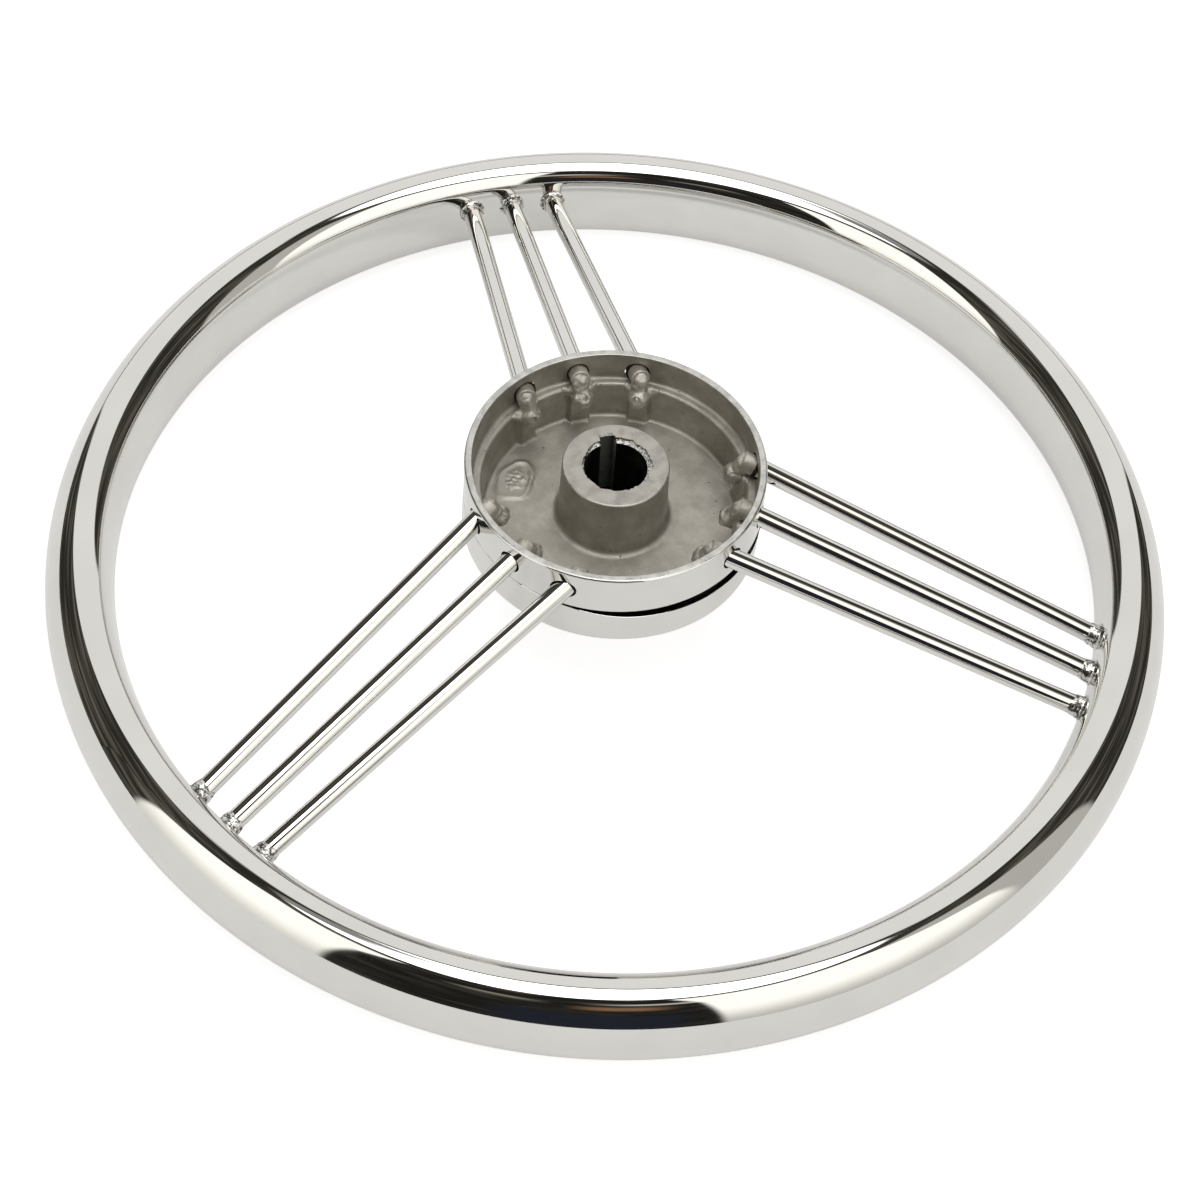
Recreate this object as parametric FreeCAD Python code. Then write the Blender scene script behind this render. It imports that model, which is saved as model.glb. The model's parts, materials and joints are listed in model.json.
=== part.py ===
"""Stainless boat steering wheel with three groups of three spoke rods.

The wheel lies face down, as at rest: the rim's front is on the plane z = 0, +Z points to the
back, where the helm shaft enters, and the origin is on the wheel's axis. +Y points along the
keyway and the middle rod of the first spoke group. All lengths are in millimetres, all angles in
degrees, counter-clockwise seen from the back.
"""
import FreeCAD
import Part
import math
import os

from FreeCAD import Vector

# Rim: a hollow tube rolled into a ring, its section flat towards the hub and full on the outside
rim_radius = 171.5
rim_half_height = 15.2
rim_outer_curve = 1.118 * rim_half_height
rim_shoulder_curve = 0.526 * rim_half_height
rim_inner_curve = 1.868 * rim_half_height
rim_wall = 1.2

# Hub casting, with depths measured down from its back edge
dish = 45.4
hub_radius = 45.0
upper_wall = 2.3
ledge_depth = 10.0
ledge_width = 3.1
floor_depth = 23.2
floor_thickness = 3.3
shoulder_depth = 14.0
back_edge_round = 0.7
ledge_round = 1.0
floor_round = 1.2
wall_draft = 0.4

# Boss and its tapered, keyed shaft bore
boss_radius = 16.0
boss_recess = 1.4
boss_draft = 0.5
boss_edge_round = 0.5
boss_root_round = 2.0
bore_radius = 9.525
bore_taper = 1.0 / 12.0
bore_chamfer = 1.2
keyway_width = 4.8
keyway_reach = 12.5

# Short pilasters on the cup's lower wall, one under each rod
pilaster_width = 6.2
pilaster_proud = 1.8
pilaster_round = 0.8
pilaster_top_gap = 1.0

# Smooth swelling that the casting has on its floor, beside the wall
swelling_angle = 146.0
swelling_radius = 31.2
swelling_lobe_radius = 6.2
swelling_height = 0.8
swelling_lobe_shift = 2.6

# Front cover, pushed over the casting's spigot and sitting a little askew
cover_sheet = 1.2
cover_depth = 14.0
cover_crown = 8.0
cover_edge_round = 3.5
cover_fit = 0.8
cover_seat_gap = 0.2
cover_tilt = 2.4
cover_tilt_angle = 193.0
spigot_chamfer = 0.8

# Seal ring in its groove round the spigot
seal_section_radius = 0.9
seal_squeeze_left = 0.4
seal_depth = 19.5
groove_play = 0.2

# Spoke rods: round bar, three groups of three, spread out towards the hub
rod_radius = 3.0
rod_hub_depth = 7.5
rod_inner_reach = 7.3
rod_above_rim_centre = 4.0
rod_end_chamfer = 0.3
hole_clearance = 0.35
weld_root_gap = 0.25
weld_face_gap = 0.15
hub_spread = 23.2
rim_spread = 5.25
group_names = ("top", "left", "right")
group_angles_at_hub = (91.7, 213.6, 329.6)
group_angles_at_rim = (89.1, 210.7, 330.5)
rod_names = ("a", "b", "c")

# Weld beads: a collar at the rim, a blob with two wings inside the hub
collar_width = 1.3
collar_length = 3.4
blob_radius = 3.7
blob_drop = 4.9
blob_inward = 0.6
stub_cap_radius = 3.4
wing_radius = 1.7
wing_spread = 4.8

# Overrun of a cut past the face that it opens, and the distance below which points are the same
cut_overrun = 1.0
same_place = 1e-6

# Places that follow from the sizes above
rim_centre_height = rim_half_height
hub_top = rim_centre_height + dish
upper_radius = hub_radius - upper_wall
lower_radius = upper_radius - ledge_width
hub_bottom_depth = floor_depth + floor_thickness
spigot_radius = hub_radius - cover_sheet - cover_fit
seal_centre_radius = spigot_radius + seal_squeeze_left - seal_section_radius
floor_top = hub_top - floor_depth
UP = Vector(0, 0, 1)
ORIGIN = Vector(0, 0, 0)


def polar(radius, angle, height):
    """Point at a radius and an angle about the wheel's axis."""
    turn = math.radians(angle)
    return Vector(radius * math.cos(turn), radius * math.sin(turn), height)


def rounded_face(corners):
    """Face in the XZ half-plane from (radius, height, rounding) corners, in order."""
    points = [Vector(radius, 0, height) for radius, height, rounding in corners]
    following = points[1:] + points[:1]
    ends = []
    for index, corner in enumerate(points):
        rounding = corners[index][2]
        to_last = points[index - 1].sub(corner).normalize()
        to_next = following[index].sub(corner).normalize()
        if rounding == 0:
            ends.append((corner, corner, None))
            continue
        half = to_last.getAngle(to_next) / 2
        reach = rounding / math.tan(half)
        bisector = to_last.add(to_next).normalize()
        centre = corner.add(bisector.multiply(rounding / math.sin(half)))
        middle = centre.add(corner.sub(centre).normalize().multiply(rounding))
        first = corner.add(to_last.multiply(reach))
        last = corner.add(to_next.multiply(reach))
        ends.append((first, last, middle))
    edges = []
    start = ends[-1][1]
    for first, last, middle in ends:
        if first.distanceToPoint(start) > same_place:
            edges.append(Part.makeLine(start, first))
        if middle is not None:
            edges.append(Part.Arc(first, middle, last).toShape())
        start = last
    return Part.Face(Part.Wire(edges))


def turned(face):
    """Solid of revolution of a face about the wheel's axis."""
    return face.revolve(ORIGIN, UP, 360)


def arc_between(centre, radius, start, end):
    """Arc in the XZ plane about a centre, from one angle to another."""
    points = []
    for angle in (start, (start + end) / 2, end):
        turn = math.radians(angle)
        points.append(centre.add(Vector(math.cos(turn), 0, math.sin(turn)) * radius))
    return Part.Arc(*points).toShape()


def rim_curve_centres():
    """Centres of the section's outer, shoulder and inner curves, and the angles where they meet."""
    rise = rim_half_height - rim_shoulder_curve
    outer_end = math.degrees(math.asin(rise / (rim_outer_curve - rim_shoulder_curve)))
    inner_start = 180 - math.degrees(math.asin(rise / (rim_inner_curve - rim_shoulder_curve)))
    outer_x = rim_radius - rim_outer_curve
    shoulder_x = outer_x + rise / math.tan(math.radians(outer_end))
    inner_x = shoulder_x - rise / math.tan(math.radians(inner_start))
    return outer_x, shoulder_x, inner_x, outer_end, inner_start


def rim_body(growth):
    """The rim as a full ring, its section grown by a clearance."""
    outer_x, shoulder_x, inner_x, outer_end, inner_start = rim_curve_centres()
    rise = rim_half_height - rim_shoulder_curve
    outer = Vector(outer_x, 0, rim_centre_height)
    inner = Vector(inner_x, 0, rim_centre_height)
    upper = Vector(shoulder_x, 0, rim_centre_height + rise)
    lower = Vector(shoulder_x, 0, rim_centre_height - rise)
    shoulder = rim_shoulder_curve + growth
    return turned(Part.Face(Part.Wire([
        arc_between(outer, rim_outer_curve + growth, -outer_end, outer_end),
        arc_between(upper, shoulder, outer_end, inner_start),
        arc_between(inner, rim_inner_curve + growth, inner_start, 360 - inner_start),
        arc_between(lower, shoulder, 360 - inner_start, 360 - outer_end),
    ])))


def make_rim():
    """Hollow rim: the full ring less the space inside the tube."""
    return rim_body(0).cut(rim_body(-rim_wall))


def rod_axis(group, spread):
    """Hub point, rim point and direction from hub to rim of one rod's axis."""
    hub_angle = group_angles_at_hub[group] - spread * hub_spread
    rim_angle = group_angles_at_rim[group] - spread * rim_spread
    at_hub = polar(hub_radius, hub_angle, hub_top - rod_hub_depth)
    inner_x = rim_curve_centres()[2]
    wall_radius = inner_x - math.sqrt(rim_inner_curve ** 2 - rod_above_rim_centre ** 2)
    at_rim = polar(wall_radius, rim_angle, rim_centre_height + rod_above_rim_centre)
    return at_hub, at_rim, at_rim.sub(at_hub).normalize()


def along(point, direction, distance):
    """Point moved along a direction."""
    return point.add(Vector(direction).multiply(distance))


def rod_inner_end(axis):
    """Centre of the rod's end inside the hub."""
    at_hub, at_rim, direction = axis
    return along(at_hub, direction, -rod_inner_reach)


def make_rod(axis, rim_space):
    """Round bar from inside the hub to the rim's wall, coped to the wall."""
    at_hub, at_rim, direction = axis
    start = rod_inner_end(axis)
    length = at_rim.sub(start).Length + rod_radius
    body = length - rod_end_chamfer
    tip = Part.makeCone(rod_radius - rod_end_chamfer, rod_radius, rod_end_chamfer, start, direction)
    bar = Part.makeCylinder(rod_radius, body, along(start, direction, rod_end_chamfer), direction)
    return largest(tip.fuse(bar).removeSplitter().cut(rim_space))


def rod_hole(axis):
    """Cutter for the hole that a rod passes through in the cup's wall."""
    at_hub, at_rim, direction = axis
    outside = 2 * rod_radius
    reach = rod_inner_reach + outside + hole_clearance
    radius = rod_radius + hole_clearance
    return Part.makeCylinder(radius, reach, along(at_hub, direction, outside), direction * -1)


def largest(shape):
    """The largest solid of a shape."""
    return max(shape.Solids, key=lambda solid: solid.Volume)


def angle_of(point):
    """Angle of a point about the wheel's axis."""
    return math.degrees(math.atan2(point.y, point.x))


def cup_profile():
    """Half section of the casting: cup wall, ledge, floor, boss, bore and spigot."""
    bottom = hub_top - hub_bottom_depth
    boss_top = hub_top - boss_recess
    bore_length = hub_bottom_depth - boss_recess
    bore_end_radius = bore_radius - bore_length * bore_taper / 2
    groove_radius = seal_centre_radius - seal_section_radius
    groove_half = seal_section_radius + groove_play
    groove = hub_top - seal_depth
    shoulder = hub_top - shoulder_depth
    ledge = hub_top - ledge_depth
    mouth_radius = bore_radius + bore_chamfer
    chamfer_end = boss_top - bore_chamfer
    chamfer_end_radius = bore_radius - bore_chamfer * bore_taper / 2
    return rounded_face([
        (hub_radius, hub_top, back_edge_round),
        (upper_radius, hub_top, 0),
        (upper_radius, ledge, ledge_round),
        (lower_radius, ledge, ledge_round),
        (lower_radius - wall_draft, floor_top, floor_round),
        (boss_radius + boss_draft, floor_top, boss_root_round),
        (boss_radius, boss_top, boss_edge_round),
        (mouth_radius, boss_top, 0),
        (chamfer_end_radius, chamfer_end, 0),
        (bore_end_radius, bottom, 0),
        (spigot_radius - spigot_chamfer, bottom, 0),
        (spigot_radius, bottom + spigot_chamfer, 0),
        (spigot_radius, groove - groove_half, 0),
        (groove_radius, groove - groove_half, 0),
        (groove_radius, groove + groove_half, 0),
        (spigot_radius, groove + groove_half, 0),
        (spigot_radius, shoulder, 0),
        (hub_radius, shoulder, 0),
    ])


def make_pilaster(angle):
    """Upright pad on the cup's lower wall, from the floor to just under the ledge."""
    front = lower_radius - wall_draft - pilaster_proud
    back = lower_radius + ledge_round
    bottom = floor_top - floor_round
    height = hub_top - ledge_depth - pilaster_top_gap - bottom
    corner = Vector(front, -pilaster_width / 2, bottom)
    pad = Part.makeBox(back - front, pilaster_width, height, corner)
    rounded = [edge for edge in pad.Edges if abs(edge.CenterOfMass.x - front) < same_place
               and abs(edge.CenterOfMass.z - bottom) > same_place]
    pad = pad.makeFillet(pilaster_round, rounded)
    pad.rotate(ORIGIN, UP, angle)
    return pad


def make_swelling():
    """Low, smooth swelling on the floor: two shallow domes that run into each other."""
    dome_radius = (swelling_lobe_radius ** 2 + swelling_height ** 2) / (2 * swelling_height)
    turn = math.degrees(swelling_lobe_shift / swelling_radius)
    domes = []
    for side in (-1, 1):
        top = polar(swelling_radius, swelling_angle + side * turn, floor_top + swelling_height)
        dome = Part.makeSphere(dome_radius, along(top, UP, -dome_radius))
        base = along(top, UP, -swelling_height - floor_thickness / 2)
        slice_height = swelling_height + floor_thickness
        domes.append(dome.common(Part.makeCylinder(swelling_lobe_radius, slice_height, base)))
    return domes[0].fuse(domes[1])


def make_hub_casting(axes):
    """Cast cup with its pilasters, rod holes, swelling and keyway."""
    pads = [make_pilaster(angle_of(rod_inner_end(axis))) for axis in axes]
    casting = turned(cup_profile()).fuse(pads + [make_swelling()])
    key_corner = Vector(-keyway_width / 2, 0, hub_top - hub_bottom_depth - cut_overrun)
    key_length = hub_bottom_depth + 2 * cut_overrun
    keyway = Part.makeBox(keyway_width, keyway_reach, key_length, key_corner)
    holes = [rod_hole(axis) for axis in axes]
    return largest(casting.cut([keyway] + holes))


def make_hub_cover():
    """Pressed cap: straight skirt, rounded edge and a low domed face, tilted on its seat."""
    skirt_top = hub_top - shoulder_depth - cover_seat_gap
    face = skirt_top - cover_depth
    outer = cap_face(hub_radius, face, skirt_top, cover_edge_round, cover_crown)
    inner = cap_face(hub_radius - cover_sheet, face + cover_sheet, skirt_top + cut_overrun,
                     cover_edge_round - cover_sheet, cover_crown)
    cover = turned(outer).cut(turned(inner))
    return tilt_cover(cover)


def cap_face(radius, face, top, edge_round, crown):
    """Half section of a filled cap, with its dome below the rounded edge."""
    flat_radius = radius - edge_round
    slope = 2 * math.atan(crown / flat_radius)
    turn = math.pi / 2 - slope
    rim_centre = Vector(flat_radius, 0, face + edge_round)
    edge_middle = rim_centre.add(Vector(math.cos(turn / 2), 0, -math.sin(turn / 2)) * edge_round)
    edge_end = rim_centre.add(Vector(math.cos(turn), 0, -math.sin(turn)) * edge_round)
    dome_radius = edge_end.x / math.sin(slope)
    dome_centre = edge_end.add(Vector(-math.sin(slope), 0, math.cos(slope)) * dome_radius)
    half_slope = slope / 2
    dome_middle = dome_centre.add(Vector(math.sin(half_slope), 0, -math.cos(half_slope)) * dome_radius)
    dome_end = dome_centre.add(Vector(0, 0, -dome_radius))
    skirt_end = Vector(radius, 0, face + edge_round)
    top_corner = Vector(radius, 0, top)
    axis_top = Vector(0, 0, top)
    return Part.Face(Part.Wire([
        Part.makeLine(axis_top, top_corner),
        Part.makeLine(top_corner, skirt_end),
        Part.Arc(skirt_end, edge_middle, edge_end).toShape(),
        Part.Arc(edge_end, dome_middle, dome_end).toShape(),
        Part.makeLine(dome_end, axis_top),
    ]))


def tilt_cover(shape):
    """Tip a shape about the point where the cover still touches the casting."""
    pivot = polar(hub_radius, cover_tilt_angle, hub_top - shoulder_depth)
    hinge = polar(1, cover_tilt_angle + 90, 0)
    shape.rotate(pivot, hinge, -cover_tilt)
    return shape


def make_seal_ring():
    """Round-section seal ring in the spigot's groove."""
    return Part.makeTorus(seal_centre_radius, seal_section_radius, Vector(0, 0, hub_top - seal_depth))


def make_rim_weld(axis, rod, rim_space):
    """Weld collar round a rod where it meets the rim's inner wall."""
    at_hub, at_rim, direction = axis
    foot = rod_radius + collar_width
    profile = Part.Wire([
        Part.makeLine(Vector(0, 0, collar_length), Vector(0, 0, -foot)),
        Part.makeLine(Vector(0, 0, -foot), Vector(foot, 0, -foot)),
        Part.makeLine(Vector(foot, 0, -foot), Vector(foot, 0, 0)),
        Part.Arc(Vector(foot, 0, 0),
                 Vector(rod_radius + collar_width * math.cos(math.pi / 4), 0,
                        collar_length * math.sin(math.pi / 4)),
                 Vector(rod_radius, 0, collar_length)).toShape(),
        Part.makeLine(Vector(rod_radius, 0, collar_length), Vector(0, 0, collar_length)),
    ])
    collar = Part.Face(profile).revolve(ORIGIN, UP, 360)
    collar.Placement = FreeCAD.Placement(at_rim, FreeCAD.Rotation(UP, direction * -1))
    return largest(collar.cut([rim_space, rod]))


def ball(radius, centre, angle):
    """Sphere whose seam faces the wheel's axis, away from what it is joined to."""
    sphere = Part.makeSphere(radius)
    sphere.rotate(ORIGIN, UP, angle + 180)
    sphere.translate(centre)
    return sphere


def make_hub_weld(axis, rod, casting):
    """Lumpy bead that ties a rod's end to the ledge, with a wing to each side."""
    end = rod_inner_end(axis)
    angle = angle_of(end)
    end_radius = math.hypot(end.x, end.y)
    blob_height = end.z - blob_drop
    blob = ball(blob_radius, polar(end_radius - blob_inward, angle, blob_height), angle)
    cap = ball(stub_cap_radius, along(end, UP, -rod_radius / 2), angle)
    wing_height = hub_top - ledge_depth - wing_radius / 2
    turn = math.degrees(wing_spread / lower_radius)
    wings = [ball(wing_radius, polar(lower_radius, angle + side * turn, wing_height), angle)
             for side in (-1, 1)]
    return largest(blob.fuse([cap] + wings).cut([rod, casting]))


def export(name, shape):
    """Write one sub-part."""
    shape.exportStep("parts/" + name + ".step")


def main():
    """Build every piece and write it."""
    os.makedirs("parts", exist_ok=True)
    rods = {}
    for group, group_name in enumerate(group_names):
        for place, rod_name in enumerate(rod_names):
            rods[group_name + "_" + rod_name] = rod_axis(group, place - 1)
    rod_stop = rim_body(weld_root_gap)
    collar_stop = rim_body(weld_face_gap)
    casting = make_hub_casting(list(rods.values()))
    export("rim", make_rim())
    export("hub_casting", casting)
    export("hub_cover", make_hub_cover())
    export("cover_seal_ring", make_seal_ring())
    for name, axis in rods.items():
        rod = make_rod(axis, rod_stop)
        export("spoke_rod_" + name, rod)
        export("rim_weld_" + name, make_rim_weld(axis, rod, collar_stop))
        export("hub_weld_" + name, make_hub_weld(axis, rod, casting))


main()
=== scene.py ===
"""Polished stainless boat steering wheel: meshes, finishes, table, studio light and camera.

The wheel lies face down on a white table, as it is stored. Sizes are written in millimetres and
turned into metres when a mesh is made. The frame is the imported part's own: +Z points to the back
of the wheel, +Y runs along the keyway.
"""

import json
import logging
import math
from dataclasses import dataclass, field
from enum import Enum, IntEnum
from typing import Callable, Iterable, Optional, Sequence

import bmesh
import bpy
from mathutils import Matrix, Vector, noise

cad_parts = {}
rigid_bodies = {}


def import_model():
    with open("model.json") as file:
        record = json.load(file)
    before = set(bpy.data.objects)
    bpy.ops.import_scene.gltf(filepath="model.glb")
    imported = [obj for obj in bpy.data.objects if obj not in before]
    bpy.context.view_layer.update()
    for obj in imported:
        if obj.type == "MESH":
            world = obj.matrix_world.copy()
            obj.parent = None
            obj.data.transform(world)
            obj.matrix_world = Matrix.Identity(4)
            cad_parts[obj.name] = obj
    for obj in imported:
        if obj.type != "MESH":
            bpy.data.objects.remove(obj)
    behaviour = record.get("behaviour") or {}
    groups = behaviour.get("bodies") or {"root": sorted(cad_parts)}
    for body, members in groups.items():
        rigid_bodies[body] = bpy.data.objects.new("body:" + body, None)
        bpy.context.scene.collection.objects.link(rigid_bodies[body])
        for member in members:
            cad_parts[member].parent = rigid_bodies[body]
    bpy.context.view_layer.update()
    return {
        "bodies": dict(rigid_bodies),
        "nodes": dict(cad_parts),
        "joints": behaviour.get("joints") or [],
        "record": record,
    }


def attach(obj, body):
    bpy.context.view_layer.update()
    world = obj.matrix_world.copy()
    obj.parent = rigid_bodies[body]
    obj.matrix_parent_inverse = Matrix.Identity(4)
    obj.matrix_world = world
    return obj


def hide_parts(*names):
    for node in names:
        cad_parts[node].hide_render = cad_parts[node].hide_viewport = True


MM = 0.001
LOG = logging.getLogger("wheel")
PHOTO_TURN = -17.0
Colour = tuple[float, float, float]
Span = tuple[float, float]
Section = list[tuple[float, float]]


class Body(Enum):
    """Rigid bodies of the part."""

    ROOT = "root"


class Slot(Enum):
    """Material slots of the part's record."""

    POLISHED_TUBE = "polished_steel"
    POLISHED_ROD = "polished_rod"
    PRESSED_SHEET = "pressed_steel"
    CASTING = "cast_steel"
    WELD = "weld_steel"
    SEAL = "seal_rubber"


class HubZone(IntEnum):
    """Surfaces of the hub casting, in the order of its materials; the underside has the inside's."""

    OUTSIDE = 0
    BACK_EDGE = 1
    INSIDE = 2
    BOSS_TOP = 3
    CHAMFER = 4
    BORE = 5
    SPIGOT = 6
    KEYWAY = 7
    UNDERSIDE = 8


# Shader graph


class Graph:
    """Short way to write a material's or the world's node graph."""

    def __init__(self, tree: bpy.types.NodeTree) -> None:
        """Start from an empty graph.

        Args:
            tree: the node tree to write in.
        """
        self.tree = tree
        tree.nodes.clear()

    def add(self, kind: str, **values: object) -> bpy.types.Node:
        """Add a node.

        Args:
            kind: the node's type name.
            values: properties of the node by name, or sockets by name with spaces as underscores.

        Returns:
            The new node.
        """
        node = self.tree.nodes.new(kind)
        for name, value in values.items():
            if hasattr(node, name):
                setattr(node, name, value)
            else:
                self.put(node, name.replace("_", " "), value)
        return node

    def put(self, node: bpy.types.Node, socket: str | int, value: object) -> None:
        """Link a socket, or set its value.

        Args:
            node: the node that takes the value.
            socket: name or number of its input.
            value: an output socket to link, or a plain value.
        """
        target = node.inputs[socket]
        if isinstance(value, bpy.types.NodeSocket):
            self.tree.links.new(value, target)
        elif isinstance(value, tuple) and len(value) == 3 and target.type == "RGBA":
            target.default_value = (*value, 1.0)
        else:
            target.default_value = value

    def math(self, operation: str, first: object, second: object = 0.0) -> bpy.types.NodeSocket:
        """Add a math node.

        Args:
            operation: the node's operation.
            first: first operand, an output or a number.
            second: second operand, an output or a number.

        Returns:
            The result's output.
        """
        node = self.add("ShaderNodeMath", operation=operation)
        self.put(node, 0, first)
        self.put(node, 1, second)
        return node.outputs[0]

    def ramp(self, value: object, start: float, end: float, low: float = 0.0,
             high: float = 1.0) -> bpy.types.NodeSocket:
        """Map a value smoothly from one range to another.

        Args:
            value: the output to map.
            start: where the range starts.
            end: where the range ends.
            low: result at the start.
            high: result at the end.

        Returns:
            The mapped output.
        """
        node = self.add("ShaderNodeMapRange", interpolation_type="SMOOTHSTEP")
        for socket, given in zip(("Value", "From Min", "From Max", "To Min", "To Max"),
                                 (value, start, end, low, high)):
            self.put(node, socket, given)
        return node.outputs[0]

    def mix(self, share: object, first: object, second: object) -> bpy.types.NodeSocket:
        """Mix two colours.

        Args:
            share: how much of the second colour.
            first: first colour.
            second: second colour.

        Returns:
            The mixed colour's output.
        """
        node = self.add("ShaderNodeMix", data_type="RGBA")
        self.put(node, 0, share)
        self.put(node, 6, first)
        self.put(node, 7, second)
        return node.outputs[2]

    def noise(self, place: object, size: float, detail: float = 2.0,
              rough: float = 0.5) -> bpy.types.NodeSocket:
        """Add a noise texture.

        Args:
            place: coordinates in metres.
            size: size of its lumps in millimetres.
            detail: number of finer layers.
            rough: weight of the finer layers.

        Returns:
            The noise's factor output.
        """
        node = self.add("ShaderNodeTexNoise", Scale=1.0 / (size * MM), Detail=detail, Roughness=rough)
        self.put(node, "Vector", place)
        return node.outputs[0]

    def bump(self, height: object, depth: float,
             under: Optional[bpy.types.NodeSocket] = None) -> bpy.types.NodeSocket:
        """Add a bump.

        Args:
            height: height output between 0 and 1.
            depth: height of 1, in millimetres.
            under: normal of a bump below this one.

        Returns:
            The normal output.
        """
        node = self.add("ShaderNodeBump", Strength=1.0, Distance=depth * MM)
        self.put(node, "Height", height)
        if under is not None:
            self.put(node, "Normal", under)
        return node.outputs[0]


def new_material(name: str) -> tuple[bpy.types.Material, Graph]:
    """Make a material with an empty graph.

    Args:
        name: the material's name.

    Returns:
        The material and its graph.
    """
    material = bpy.data.materials.new(name)
    material.use_nodes = True
    return material, Graph(material.node_tree)


def finish_metal(graph: Graph, colour: object, roughness: object, normal: object,
                 metallic: float = 1.0) -> None:
    """End a metal's graph in a metallic shader.

    Args:
        graph: the material's graph.
        colour: base colour.
        roughness: roughness output or number.
        normal: normal output.
        metallic: share of the metal's mirror; a blasted skin, or a dull face painted as shade, scatters the
            rest.
    """
    shader = graph.add("ShaderNodeBsdfPrincipled", Metallic=metallic)
    graph.put(shader, "Base Color", colour)
    graph.put(shader, "Roughness", roughness)
    graph.put(shader, "Normal", normal)
    output = graph.add("ShaderNodeOutputMaterial")
    graph.put(output, "Surface", shader.outputs[0])


# Finishes


@dataclass(frozen=True)
class MirrorPolish:
    """Hand-buffed stainless: a mirror with slow waves, faint buffing haze and hair scratches."""

    name: str
    colour: Colour = (0.748, 0.735, 0.708)
    roughness: float = 0.025
    haze: float = 0.05
    haze_size: float = 22.0
    haze_span: Span = (0.4, 0.8)
    worn_share: float = 0.965
    worn_span: Span = (0.35, 0.7)
    wave_size: float = 16.0
    wave_depth: float = 0.010
    hair_size: float = 0.6
    hair_depth: float = 0.0004

    def material(self) -> bpy.types.Material:
        """Build the material.

        Returns:
            The finish as a material.
        """
        material, graph = new_material(self.name)
        place = graph.add("ShaderNodeTexCoord").outputs["Object"]
        waves = graph.noise(place, self.wave_size, detail=1.0)
        hairs = graph.noise(place, self.hair_size, detail=4.0, rough=0.7)
        haze = graph.noise(place, self.haze_size, detail=3.0)
        normal = graph.bump(hairs, self.hair_depth, graph.bump(waves, self.wave_depth))
        worn = tuple(self.worn_share * share for share in self.colour)
        colour = graph.mix(graph.ramp(haze, *self.worn_span), self.colour, worn)
        roughness = graph.ramp(haze, *self.haze_span, self.roughness, self.roughness + self.haze)
        finish_metal(graph, colour, roughness, normal)
        return material


@dataclass(frozen=True)
class BlastedCasting:
    """Bead-blasted stainless casting: dull warm grey, fine grain, a few pits, and painted glints, specks
    and shade.
    """

    name: str
    colour: Colour = (0.52, 0.497, 0.448)
    dark: Colour = (0.40, 0.378, 0.333)
    metallic: float = 0.88
    roughness: float = 0.5
    grain_size: float = 0.6
    grain_depth: float = 0.07
    rough_span: Span = (0.3, 0.7)
    rough_change: Span = (-0.06, 0.08)
    stain_size: float = 7.0
    stain_span: Span = (0.35, 0.7)
    glint: Colour = (0.85, 0.83, 0.79)
    glint_span: Span = (0.60, 0.78)
    glint_share: float = 0.5
    shade: Colour = (0.25, 0.235, 0.21)
    shade_span: Span = (0.24, 0.40)
    shade_share: float = 0.45
    pit: Colour = (0.12, 0.11, 0.10)
    pit_cell: float = 4.2
    pit_span: Span = (0.03, 0.085)
    pit_depth: float = 0.12
    speck: Colour = (0.95, 0.94, 0.92)
    speck_cell: float = 3.1
    speck_span: Span = (0.025, 0.06)

    def material(self) -> bpy.types.Material:
        """Build the material.

        Returns:
            The finish as a material.
        """
        material, graph = new_material(self.name)
        place = graph.add("ShaderNodeTexCoord").outputs["Object"]
        grain = graph.noise(place, self.grain_size, detail=3.0, rough=0.65)
        stains = graph.noise(place, self.stain_size, detail=4.0, rough=0.6)
        flat = graph.ramp(self.cells(graph, place, self.pit_cell), *self.pit_span)
        speck = graph.ramp(self.cells(graph, place, self.speck_cell), *self.speck_span, 1.0, 0.0)
        normal = graph.bump(flat, self.pit_depth, graph.bump(grain, self.grain_depth))
        colour = graph.mix(graph.ramp(stains, *self.stain_span), self.dark, self.colour)
        # Painted glints on the grain's high points and painted shade in its low points; the bright specks
        # are painted glints.
        colour = graph.mix(graph.ramp(grain, *self.glint_span, 0.0, self.glint_share), colour, self.glint)
        colour = graph.mix(graph.ramp(grain, *self.shade_span, self.shade_share, 0.0), colour, self.shade)
        colour = graph.mix(speck, colour, self.speck)
        colour = graph.mix(flat, self.pit, colour)
        smoother, rougher = (self.roughness + change for change in self.rough_change)
        roughness = graph.ramp(grain, *self.rough_span, smoother, rougher)
        finish_metal(graph, colour, roughness, normal, self.metallic)
        return material

    @staticmethod
    def cells(graph: Graph, place: bpy.types.NodeSocket, size: float) -> bpy.types.NodeSocket:
        """Distance to the nearest of many scattered points, in cells.

        Args:
            graph: the material's graph.
            place: coordinates in metres.
            size: size of a cell in millimetres.

        Returns:
            The distance's output.
        """
        cells = graph.add("ShaderNodeTexVoronoi", feature="F1", Scale=1.0 / (size * MM))
        graph.put(cells, "Vector", place)
        return cells.outputs["Distance"]


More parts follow.
